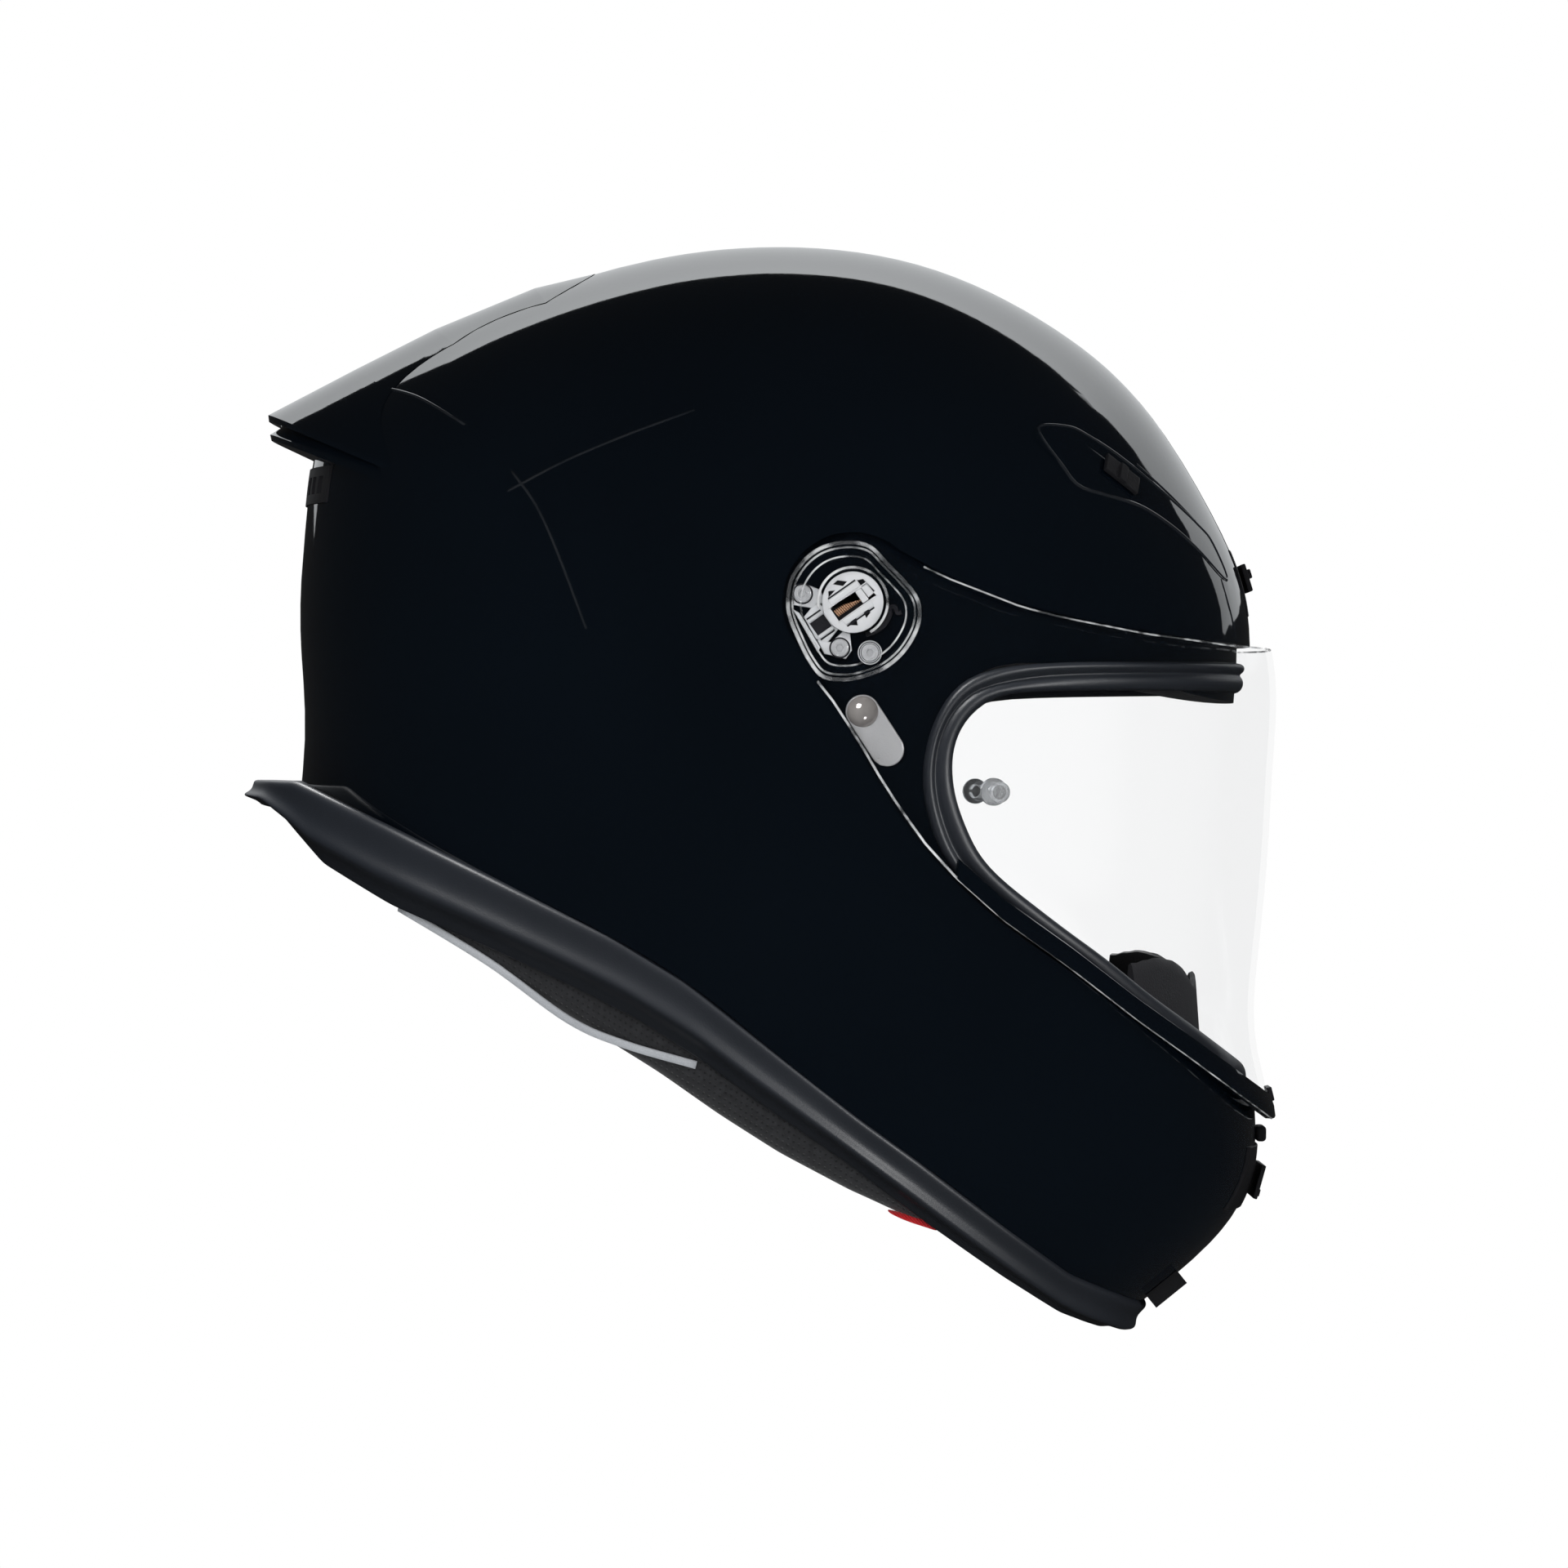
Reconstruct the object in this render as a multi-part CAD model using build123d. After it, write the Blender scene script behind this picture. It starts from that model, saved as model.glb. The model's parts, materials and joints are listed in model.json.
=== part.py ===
from build123d import *
import math
import os

# ---------------------------------------------------------------- frame
# Millimetres. +X is forward, +Y the wearer's left, +Z up, as worn.
# The origin is the middle of the head cavity on the mid-plane.

# ---------------------------------------------------------------- driving dimensions
HALF_WIDTH = 126.0              # shell's widest half breadth
FULLNESS = 2.2                  # how square the shell's sections are, 2 is an ellipse
POLE = (5.0, -10.0)             # where the sides are widest, as (X, Z)
SHELL_WALL = 4.0
RECESS = 4.2                    # how far the shell steps in under the visor
LINER_GAP = 0.3
LINER_SPLIT = -42.0             # height where the crown's foam meets the sides'
LINER_CHIN = 62.0               # where the chin bar's foam begins
LINER_LIFT = 4.5                # how far the foam ends above the trim's lower edge
PAD_GAP = 0.4
ROLL_DEPTH = 5.0                # how far under the shell's skin the neck roll lies
ROLL_THICKNESS = 25.0
PIPING_BREADTH = 2.2
TAB_DEPTH = 4.4
TAB_THICKNESS = 1.8
GASKET_DEPTH = (1.4, 9.0)       # the eye port seal's outer and inner depth
DEFLECTOR_DEPTH = (15.0, 17.5)
DEFLECTOR_BREADTH = 45.0
VISOR_WALL = 2.0
VISOR_HALF_WIDTH = 128.8
VOID_HALF_WIDTH = 90.0          # inside of the impact liner
CROWN_PAD = 9.0
CHEEK_INNER = 68.0              # a cheek pad's inner face from the mid-plane
PIVOT = (23.4, 3.0)             # visor hinge axis, as (X, Z)
PIVOT_FLOOR = 118.6             # flat floor of the hinge pocket from the mid-plane
POCKET_RADIUS = 19.0
SCREWS = [(8.2, 5.6), (19.5, -10.8), (28.6, -12.2)]
PLATE_THICKNESS = 2.6
PLATE_RADIUS = 12.5
EAR_RADIUS = 4.0
BOSS_RADIUS = 9.4
BOSS_TOP = 125.0
VISOR_REACH = 20.3              # how far the visor's rounded end lies from the hinge axis
HUB_RADIUS = 11.5
HUB_LIFT = 3.2                  # how far the visor's hub starts above the pocket's floor
HUB_SEAT = 0.04                 # gap between a hub and the visor that holds it
RUNNING_GAP = 0.08
SCREW_HEAD = (2.6, 1.3)         # radius and height
SCREW_SHANK = 1.5
SCREW_SOCKET = 1.2
LATCH_TRAVEL = 2.0
LATCH_TURN = 35.0               # the latch's slope, degrees above forward
LATCH_BAR = (2.2, 4.2, 2.2)     # along the slope, across it, and deep
LATCH_THUMB = 0.5
GROOVE = (13.4, 4.6, 2.8)       # the latch's groove in the boss
SPRING_LENGTH = 8.6
SPRING_RADIUS = 1.25
SPRING_WALL = 0.5
STUD = (26.4, -30.1)
STUD_PLATE_END = (33.8, -41.5)
STUD_PLATE_RADIUS = 5.2
STUD_PLATE_TOP = 121.6
STUD_RADIUS = 5.4
STUD_SINK = 2.6                 # how far the stud's centre lies under its plate
POST = (67.8, -54.5)            # the anti-fog film's post, as (X, Z)
POST_STEM = 2.2
VENT_DEPTH = 2.2                # how far the shell is let in for its vents
CENTRE_VENT = (1.0, 22.0, 20.0)         # low and high Z, and half breadth
CHIN_VENT = (-186.0, -166.0, 34.0)
EXHAUST = (36.0, 47.5, 48.0)
BROW_SLIDER_AT = (106.0, 43.0)
BROW_SLIDER_WAY = (0.80, -0.60)
CENTRE_SLIDER_AT = (148.5, 12.0)
CHIN_SLIDER_AT = (150.3, -175.0)
INTAKE_AT = (124.5, -208.5)
CATCH_AT = (152.2, -161.4)
LIFT_TAB_AT = (157.0, -150.0)
RING_RADIUS = 14.0
RING_WIRE = 1.6
RING_GAP = 0.06
RING_BARS = [(-55.0, -155.0), (-46.0, -155.0)]      # as (Y, Z)
STRAP_MIDDLE = 26.5             # X of both straps
STRAP_WIDTH = 21.0
STRAP_CHANNEL = (29.0, 9.0)     # the cheek pads' channel for a strap, width and depth
STRAP_THICKNESS = 2.2
STRAP_SLEEVE = 3.4              # radius of the sewn end round a ring's bar
STRAP_ROUTE = [(-81.0, -90.0), (-81.0, -108.0), (-76.0, -126.0), (-66.0, -143.0), (-57.0, -153.0)]
STRAP_TAIL = [(52.0, -161.0), (45.0, -166.0)]
SIDE_CLEAR = 10.0               # where a piece of one side begins, from the mid-plane
RIGHT = -1
LEFT = 1

# Side outlines at the mid-plane, as (X, Z). Each is closed, and what lies below the
# rim is cut away later, so there it only sets how wide the rim is.
SHELL_OUTLINE = [
    (150.5, -14.0), (148.5, 9.0), (138.3, 33.8), (117.8, 66.3), (88.7, 92.3),
    (45.0, 112.8), (-5.2, 118.3), (-50.0, 111.8), (-91.0, 98.0), (-119.0, 84.0),
    (-137.0, 71.0), (-146.0, 54.0), (-149.5, 28.0), (-151.0, -3.0), (-149.6, -38.0),
    (-153.0, -78.0), (-146.0, -125.0), (-110.0, -185.0), (-45.0, -232.0), (30.0, -246.0),
    (88.0, -233.0), (123.0, -211.0), (145.0, -189.0), (152.3, -163.0), (149.0, -125.0),
    (147.5, -82.0), (148.5, -40.0),
]
VISOR_OUTLINE = [
    (158.8, -22.0), (154.5, 3.0), (143.0, 33.8), (121.0, 67.0), (91.0, 94.0),
    (45.0, 114.5), (-5.2, 120.0), (-51.0, 114.0), (-92.0, 101.5), (-122.5, 88.2),
    (-141.0, 75.5), (-149.0, 55.0), (-151.8, 28.0), (-153.0, -3.0), (-151.6, -38.0),
    (-155.0, -78.0), (-148.0, -125.0), (-112.0, -187.0), (-45.0, -234.0), (30.0, -248.0),
    (92.0, -237.0), (130.0, -214.0), (152.0, -190.0), (158.0, -160.0), (152.0, -130.0),
    (155.0, -88.0), (157.5, -50.0),
]
TRIM_OUTLINE = [
    (152.0, -14.0), (150.0, 9.0), (139.5, 34.5), (118.8, 67.3), (89.3, 93.5),
    (45.0, 114.3), (-5.2, 119.8), (-51.0, 113.3), (-92.0, 99.5), (-120.0, 85.0),
    (-138.5, 72.0), (-147.5, 54.0), (-151.0, 28.0), (-154.0, -3.0), (-162.0, -38.0),
    (-165.0, -62.0), (-153.0, -128.0), (-111.5, -187.0), (-45.0, -233.5), (30.0, -247.5),
    (89.0, -234.5), (124.0, -212.5), (146.5, -190.0), (153.8, -163.0), (150.5, -125.0),
    (149.0, -82.0), (150.0, -40.0),
]
VOID_OUTLINE = [
    (112.0, -14.0), (113.0, 8.0), (104.0, 32.0), (84.0, 54.0), (56.0, 70.5),
    (22.0, 79.5), (-12.0, 81.0), (-48.0, 74.0), (-80.0, 58.0), (-102.0, 34.0),
    (-112.0, 6.0), (-113.0, -26.0), (-112.0, -62.0), (-112.0, -105.0), (-95.0, -155.0),
    (-60.0, -200.0), (-15.0, -228.0), (40.0, -236.0), (92.0, -215.0), (114.0, -180.0),
    (119.0, -145.0), (116.0, -110.0), (113.0, -75.0), (112.0, -42.0),
]

# Edges seen from the side, as (X, Z), from back to front.
TRIM_TOP = [
    (-175.0, -50.0), (-150.0, -51.0), (-119.0, -65.0), (-88.7, -79.5), (-50.0, -98.4),
    (-27.4, -112.0), (-2.6, -131.6), (25.2, -153.7), (43.3, -167.0), (70.0, -188.0),
    (92.0, -205.0), (117.0, -217.0),
]
TRIM_LOW = [
    (-175.0, -57.0), (-158.0, -60.0), (-142.0, -77.0), (-119.5, -89.8), (-87.0, -103.4),
    (-61.9, -114.8), (-42.5, -124.5), (-22.9, -137.0), (-4.8, -150.5), (21.2, -168.6),
    (45.0, -187.0), (70.5, -205.8), (89.0, -218.5), (103.0, -225.0), (117.0, -225.7),
]
ROLL_TOP = [
    (-163.0, -54.0), (-142.0, -73.5), (-119.5, -87.0), (-87.0, -100.6), (-61.9, -112.0),
    (-42.5, -121.7), (-22.9, -134.2), (-4.8, -147.7), (21.2, -165.8), (37.0, -177.8),
    (45.0, -183.8),
]
ROLL_LOW = [
    (-164.0, -58.0), (-142.0, -76.0), (-118.0, -92.5), (-97.0, -107.3), (-77.4, -119.9),
    (-57.0, -132.5), (-37.0, -145.0), (-19.0, -157.6), (0.6, -170.2), (22.0, -181.6),
    (35.0, -187.2), (45.0, -191.4),
]
PIPING = [
    (-118.4, -89.5), (-89.2, -106.5), (-64.4, -124.0), (-47.0, -131.5), (-24.7, -137.8),
]
PORT_INNER = [
    (170.0, -24.0), (78.0, -24.0), (64.5, -28.0), (57.0, -36.5), (54.9, -48.0),
    (58.0, -62.0), (66.0, -77.0), (85.1, -92.2), (103.8, -105.1), (118.6, -116.4),
    (137.3, -129.4), (170.0, -153.0),
]
PORT_OUTER = [
    (172.0, -13.5), (82.3, -15.2), (60.0, -19.5), (49.0, -33.0), (45.3, -52.0),
    (49.4, -71.0), (58.5, -83.5), (69.0, -92.5), (91.1, -108.6), (111.0, -123.6),
    (127.6, -135.4), (142.0, -145.8), (172.0, -168.0),
]
VISOR_TOP = [
    (52.2, 10.4), (74.9, 1.8), (87.6, -1.3), (114.0, -6.0), (141.0, -9.0), (172.0, -10.0),
]
VISOR_LOW = [
    (172.0, -168.5), (157.3, -157.6), (142.0, -146.4), (127.6, -135.9), (111.0, -124.1),
    (91.1, -108.8), (69.0, -93.0), (54.6, -80.2), (44.7, -69.3), (33.5, -53.2),
    (24.9, -38.4),
]
TAB = [(45.3, -186.0), (52.5, -191.8), (50.0, -193.8), (45.3, -192.2)]
CURTAIN = [(66.0, -200.5), (112.0, -220.0), (113.0, -217.5), (67.0, -198.0)]
BROW_LEAF = [
    (80.6, 57.0), (89.9, 58.0), (96.4, 55.3), (105.9, 49.5), (118.6, 39.8),
    (131.4, 29.0), (136.4, 23.3), (140.9, 11.8), (130.0, 22.0), (121.0, 29.0),
    (112.0, 34.0), (101.0, 37.0), (93.0, 39.5), (88.0, 45.5),
]
CHEEK_EDGE = [
    (-48.0, -43.0), (34.0, -43.0), (45.0, -58.0), (52.0, -80.0), (70.0, -98.0),
    (92.0, -114.0), (84.0, -150.0), (62.0, -178.0), (20.0, -158.0), (-20.0, -130.0),
    (-48.0, -110.0),
]
CROWN_EDGE = [
    (-130.0, -42.0), (33.0, -42.0), (50.0, -12.0), (130.0, -12.0), (130.0, 120.0),
    (-130.0, 120.0),
]
DEFLECTOR_EDGE = [
    (100.0, -104.0), (114.0, -107.0), (126.0, -114.0), (131.0, -112.5), (135.0, -117.0),
    (142.0, -141.0), (96.0, -128.0),
]
TAIL = [
    (-39.0, 114.3), (-76.7, 105.3), (-108.2, 92.3), (-133.9, 79.3), (-161.2, 65.0),
    (-161.0, 63.0), (-157.0, 61.0), (-160.6, 58.8), (-160.2, 57.0), (-148.5, 51.5),
    (-141.7, 48.9), (-115.0, 55.0), (-70.0, 90.0), (-39.0, 105.0),
]

SECTION_STATIONS = [0.985, 0.94, 0.85, 0.72, 0.56, 0.38, 0.19]


def spline_knots(points):
    """Control points of the closed cubic spline that runs through the given points."""
    count = len(points)
    control = list(points)
    for _ in range(40):
        control = [
            tuple(
                (6 * points[i][k] - control[i - 1][k] - control[(i + 1) % count][k]) / 4
                for k in (0, 1)
            )
            for i in range(count)
        ]
    return control


def outline_points(points, steps=2):
    """Points along the closed spline, a few for each span."""
    control = spline_knots(points)
    count = len(control)
    found = []
    for i in range(count):
        near = [control[(i + j - 1) % count] for j in range(4)]
        for step in range(steps):
            u = step / steps
            weights = (
                (1 - u) ** 3 / 6,
                (3 * u**3 - 6 * u**2 + 4) / 6,
                (-3 * u**3 + 3 * u**2 + 3 * u + 1) / 6,
                u**3 / 6,
            )
            found.append(tuple(sum(w * p[k] for w, p in zip(weights, near)) for k in (0, 1)))
    return found


def inset(points, distance):
    """The outline moved inwards by a distance, outwards if it is negative."""
    count = len(points)
    moved = []
    for i in range(count):
        before = points[i - 1]
        after = points[(i + 1) % count]
        dx, dz = after[0] - before[0], after[1] - before[1]
        length = math.hypot(dx, dz)
        moved.append((points[i][0] - distance * dz / length, points[i][1] + distance * dx / length))
    return moved


def form(outline, depth=0.0, half_width=HALF_WIDTH, fullness=FULLNESS):
    """A closed egg: the side outline, shrinking towards the pole as it nears each side."""
    ring = inset(outline_points(outline), depth)
    wide = half_width - depth
    stations = [-s for s in SECTION_STATIONS] + [0.0] + SECTION_STATIONS[::-1]
    sections = []
    for station in stations:
        share = (1 - abs(station) ** fullness) ** (1 / fullness)
        corners = [
            (POLE[0] + share * (x - POLE[0]), POLE[1] + share * (z - POLE[1])) for x, z in ring
        ]
        plane = Plane(origin=(0, station * wide, 0), x_dir=(1, 0, 0), z_dir=(0, -1, 0))
        sections.append(plane * make_face(Spline(*corners, periodic=True)))
    return loft(sections)


def side_face(edge, y):
    """A face in the side view from corner points, at a distance from the mid-plane."""
    plane = Plane(origin=(0, y, 0), x_dir=(1, 0, 0), z_dir=(0, -1, 0))
    return plane * make_face(edge)


def side_block(points, low=-200.0, high=200.0):
    """A block across the helmet with straight edges in the side view."""
    return extrude(side_face(Polyline(*points, close=True), high), high - low)


def band_block(upper, lower, low=-200.0, high=200.0):
    """A block across the helmet between two smooth edges that run from back to front."""
    top = Spline(*upper)
    bottom = Spline(*lower)
    ends = [Line(upper[0], lower[0]), Line(upper[-1], lower[-1])]
    return extrude(side_face(Curve() + [top, bottom] + ends, high), high - low)


def port_block(edge):
    """A block across the helmet, open to the front, behind a smooth edge."""
    closing = Line(edge[-1], edge[0])
    return extrude(side_face(Curve() + [Spline(*edge), closing], 200.0), 400.0)


def on_circle(centre, radius, turn):
    """A place on a circle in the side view, its angle in degrees above forward."""
    angle = math.radians(turn)
    return (centre[0] + radius * math.cos(angle), centre[1] + radius * math.sin(angle))


def visor_block(grow=0.0):
    """The visor's side view, a teardrop round the hinge, as a block across the helmet."""
    reach = VISOR_REACH + grow
    top = [(x, z + grow) for x, z in VISOR_TOP]
    low = [(x - 0.6 * grow, z - 0.8 * grow) for x, z in VISOR_LOW]
    start, crown, end = (on_circle(PIVOT, reach, turn) for turn in (48, 128, 208))
    edges = [
        Spline(start, *top),
        Line(top[-1], low[0]),
        Spline(*low, end),
        ThreePointArc(start, crown, end),
    ]
    return extrude(side_face(Curve() + edges, 200.0), 400.0)


def webbing(route, width, thickness):
    """A flat strap across X that follows a route in the front view, as (Y, Z)."""
    plane = Plane(origin=(STRAP_MIDDLE - width / 2, 0, 0), x_dir=(0, 1, 0), z_dir=(1, 0, 0))
    return extrude(plane * trace(Polyline(*route), thickness), width)


def rod(x, z, radius, y_low, y_high):
    """A round bar across the helmet between two distances from the mid-plane."""
    plane = Plane(origin=(x, y_high, z), x_dir=(1, 0, 0), z_dir=(0, -1, 0))
    return extrude(plane * Circle(radius), y_high - y_low)


def side_rod(side, x, z, radius, inner, outer):
    """A round bar on one side of the helmet, from an inner to an outer distance."""
    low, high = sorted((side * inner, side * outer))
    return rod(x, z, radius, low, high)


def half(side, inner=0.0):
    """Everything on one side of the helmet, beyond a distance from the mid-plane."""
    return Pos(0, side * (inner + 150), 0) * Box(500, 300, 700)


def largest(shape):
    """The biggest solid of a shape, without the slivers that a cut leaves."""
    return max(shape.solids(), key=lambda solid: solid.volume)


def mirrored(solid):
    """The same piece on the wearer's other side."""
    return mirror(solid, about=Plane.XZ)


def outline_radius(angle, points):
    """The outline's distance from the pole in one direction."""
    ring = outline_points(points, steps=6)
    polar = sorted(
        (math.atan2(z - POLE[1], x - POLE[0]), math.hypot(x - POLE[0], z - POLE[1]))
        for x, z in ring
    )
    polar.append((polar[0][0] + math.tau, polar[0][1]))
    for before, after in zip(polar, polar[1:]):
        if before[0] <= angle <= after[0]:
            share = (angle - before[0]) / (after[0] - before[0])
            return before[1] + share * (after[1] - before[1])
    return polar[0][1]


def skin_y(x, z, points=SHELL_OUTLINE, half_width=HALF_WIDTH):
    """How far the skin is from the mid-plane at a place in the side view."""
    dx, dz = x - POLE[0], z - POLE[1]
    reach = math.hypot(dx, dz) / outline_radius(math.atan2(dz, dx), points)
    return half_width * max(0.0, 1 - reach**FULLNESS) ** (1 / FULLNESS)


def skin_plane(side, x, z, towards, points=SHELL_OUTLINE, half_width=HALF_WIDTH):
    """A plane on the skin, its Z outwards and its X along a side-view direction."""
    step = 1.0
    here = skin_y(x, z, points, half_width)
    slope_x = skin_y(x + step, z, points, half_width) - here
    slope_z = skin_y(x, z + step, points, half_width) - here
    outward = Vector(-slope_x, side, -slope_z).normalized()
    along = Vector(towards[0], side * (slope_x * towards[0] + slope_z * towards[1]), towards[1])
    return Plane(origin=(x, side * here, z), x_dir=along, z_dir=outward)


def outline_plane(points, near):
    """A plane on the mid-plane outline, its Z outwards and its X down the outline."""
    ring = outline_points(points, steps=6)
    index = min(range(len(ring)), key=lambda i: math.dist(ring[i], near))
    before, after = ring[index - 1], ring[(index + 1) % len(ring)]
    down = Vector(before[0] - after[0], 0, before[1] - after[1]).normalized()
    down = down if down.Z < 0 else down * -1
    outward = Vector(-down.Z, 0, down.X)
    return Plane(origin=(ring[index][0], 0, ring[index][1]), x_dir=down, z_dir=outward)


def layer(block, outline, outer, inner, half_width=HALF_WIDTH):
    """The part of a block between two depths under an outline's egg."""
    return largest((block & form(outline, outer, half_width)) - form(outline, inner, half_width))


# ---------------------------------------------------------------- shell and padding
def rim_block(edge, drop=0.0):
    """Everything above a rim edge."""
    lower = [(x, z - drop) for x, z in edge]
    top = [(lower[0][0], 150), (190, 150), (190, lower[-1][1])]
    closing = Polyline(lower[0], *top, lower[-1])
    return extrude(side_face(Curve() + [Spline(*lower), closing], 200.0), 400.0)


def stepped(depth, grow):
    """The shell's egg at a depth, stepped in where the visor lies."""
    return form(SHELL_OUTLINE, depth) - (visor_block(grow) - form(SHELL_OUTLINE, depth + RECESS))


def leaf_block():
    return extrude(side_face(Spline(*BROW_LEAF, periodic=True), 200.0), 400.0)


def vent_block(vent, facing=1, clearance=0.0):
    """A block through the shell's front or back, as high and broad as a vent."""
    low, high, breadth = vent
    near, far = facing * 120.0, facing * 170.0
    corners = [(near, low), (far, low), (far, high), (near, high)]
    return side_block(corners, clearance - breadth, breadth - clearance)


def vent_blocks():
    """Where the shell is let in for its vent pieces."""
    return [leaf_block(), vent_block(CENTRE_VENT), vent_block(CHIN_VENT), vent_block(EXHAUST, -1)]


def outer_shell():
    shell = rim_block(TRIM_TOP) & stepped(0.0, 1.0)
    shell = shell - stepped(SHELL_WALL, 1.0 + SHELL_WALL)
    shell = shell - port_block(PORT_OUTER)
    for block in vent_blocks():
        shell = shell - (block - form(SHELL_OUTLINE, VENT_DEPTH))
    for side in (RIGHT, LEFT):
        shell = shell - side_rod(side, *PIVOT, POCKET_RADIUS, PIVOT_FLOOR, 140)
    return largest(shell)


def impact_liner():
    """The whole foam liner, before it is parted."""
    liner = rim_block(TRIM_LOW, -LINER_LIFT) & stepped(SHELL_WALL + LINER_GAP, 1.5 + SHELL_WALL)
    liner = liner - port_block(PORT_OUTER)
    return liner - form(VOID_OUTLINE, 0.0, VOID_HALF_WIDTH)


def liner_parts(liner):
    """The foam's four mouldings: crown, both sides with the nape, and chin bar."""
    below = [(-170.0, -250.0), (LINER_CHIN, -250.0), (LINER_CHIN, LINER_SPLIT), (-170.0, LINER_SPLIT)]
    above = [(-170.0, LINER_SPLIT), (170.0, LINER_SPLIT), (170.0, 130.0), (-170.0, 130.0)]
    front = [(LINER_CHIN, -250.0), (170.0, -250.0), (170.0, LINER_SPLIT), (LINER_CHIN, LINER_SPLIT)]
    return {
        "impact_liner_crown": largest(liner & side_block(above)),
        "impact_liner_right": largest(liner & side_block(below, -200, 0)),
        "impact_liner_left": largest(liner & side_block(below, 0, 200)),
        "impact_liner_chin": largest(liner & side_block(front)),
    }


def crown_liner():
    return layer(side_block(CROWN_EDGE), VOID_OUTLINE, PAD_GAP, CROWN_PAD, VOID_HALF_WIDTH)


def cheek_pad_right():
    pad = form(VOID_OUTLINE, PAD_GAP, VOID_HALF_WIDTH) & side_block(CHEEK_EDGE)
    pad = pad & half(RIGHT, CHEEK_INNER)
    return largest(pad - webbing(STRAP_ROUTE, *STRAP_CHANNEL))


def neck_roll():
    return layer(band_block(ROLL_TOP, ROLL_LOW), SHELL_OUTLINE, ROLL_DEPTH, ROLL_DEPTH + ROLL_THICKNESS)


def reflective_piping(side):
    """A flat strip just clear of the neck roll's outer face."""
    lower = [(x, z - PIPING_BREADTH) for x, z in PIPING]
    strip = band_block(PIPING, lower) & half(side, SIDE_CLEAR)
    return layer(strip, SHELL_OUTLINE, ROLL_DEPTH - 0.7, ROLL_DEPTH - 0.2)


def pull_tab(side):
    return layer(side_block(TAB) & half(side, SIDE_CLEAR), SHELL_OUTLINE, TAB_DEPTH, TAB_DEPTH + TAB_THICKNESS)


def base_trim():
    band = band_block(TRIM_TOP, TRIM_LOW) & form(TRIM_OUTLINE)
    return largest(band - form(SHELL_OUTLINE, SHELL_WALL + 0.2))


def eyeport_gasket():
    ring = port_block(PORT_OUTER) - port_block(PORT_INNER)
    return layer(ring, SHELL_OUTLINE, *GASKET_DEPTH)


def breath_deflector():
    block = side_block(DEFLECTOR_EDGE, -DEFLECTOR_BREADTH, DEFLECTOR_BREADTH)
    return layer(block & port_block(PORT_OUTER), SHELL_OUTLINE, *DEFLECTOR_DEPTH)


def chin_curtain():
    return largest(side_block(CURTAIN) & form(VOID_OUTLINE, PAD_GAP, VOID_HALF_WIDTH))


# ---------------------------------------------------------------- tail and vents
def rear_spoiler():
    """A wing over the back of the crown, sinking into the shell at both sides."""
    sections = []
    for y in (-78, -60, -40, -20, 0, 20, 40, 60, 78):
        share = (1 - abs(y / HALF_WIDTH) ** FULLNESS) ** (1 / FULLNESS)
        share *= 1 - 0.10 * (y / 78) ** 4
        corners = [(POLE[0] + share * (x - POLE[0]), POLE[1] + share * (z - POLE[1])) for x, z in TAIL]
        sections.append(side_face(Polyline(*corners, close=True), y))
    return largest(loft(sections, ruled=False) - form(SHELL_OUTLINE, -0.1))


def let_in(block, proud, depth=VENT_DEPTH - 0.2):
    """A piece that fills a let-in of the shell and stands a little proud of it."""
    return layer(block, SHELL_OUTLINE, -proud, depth)


def brow_vent_frame(side):
    return let_in(leaf_block() & half(side, SIDE_CLEAR), 0.2)


def standing(length, breadth, height, along=0.0, lift=0.0):
    """A block that stands on a plane, moved along it and lifted off it."""
    return Pos(along, 0, lift) * Box(length, breadth, height, align=(Align.CENTER, Align.CENTER, Align.MIN))


def brow_slider(side):
    plane = skin_plane(side, *BROW_SLIDER_AT, BROW_SLIDER_WAY)
    return plane * (standing(14, 7, 1.3, 0, 0.5) + standing(3, 7, 0.6, 0, 1.8))


def centre_vent_frame():
    return let_in(vent_block(CENTRE_VENT, 1, 0.2), 0.3)


def centre_vent_slider():
    plane = outline_plane(SHELL_OUTLINE, CENTRE_SLIDER_AT)
    return plane * (standing(9, 26, 1.6, 0, 0.9) + standing(3, 20, 1.2, -1, 2.5))


def chin_vent_housing():
    return let_in(vent_block(CHIN_VENT, 1, 0.2), 0.8)


def chin_vent_slider():
    plane = outline_plane(SHELL_OUTLINE, CHIN_SLIDER_AT)
    return plane * (standing(11, 34, 1.4, 0, 1.8) + standing(2.4, 16, 1.0, 3.6, 3.2))


def chin_intake():
    """A scoop under the chin bar, open at its front."""
    plane = outline_plane(SHELL_OUTLINE, INTAKE_AT)
    scoop = standing(12.5, 44, 8, 0, -5) - standing(7.5, 36, 9, 0, -2)
    return largest(plane * scoop - form(SHELL_OUTLINE, -0.1))


def rear_exhaust_grille():
    grille = let_in(vent_block(EXHAUST, -1, 0.2), 0.6)
    for y in range(-40, 41, 8):
        grille = grille - Pos(-150, y, (EXHAUST[0] + EXHAUST[1]) / 2) * Box(40, 5, 5.5)
    return largest(grille)


def visor_catch():
    plane = outline_plane(SHELL_OUTLINE, CATCH_AT)
    return largest(plane * standing(5, 14, 5.4, 0, -2) - form(SHELL_OUTLINE, -0.1))


# ---------------------------------------------------------------- visor and its hinge
def visor():
    """The clear pane, with a round seat for each hub and a hole for each anti-fog post."""
    pane = layer(visor_block(), VISOR_OUTLINE, 0.0, VISOR_WALL, VISOR_HALF_WIDTH)
    for side in (RIGHT, LEFT):
        pane = pane - side_rod(side, *PIVOT, HUB_RADIUS + HUB_SEAT, PIVOT_FLOOR, 140)
        pane = pane - post_stem(side, POST_STEM)
    return largest(pane)


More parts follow.
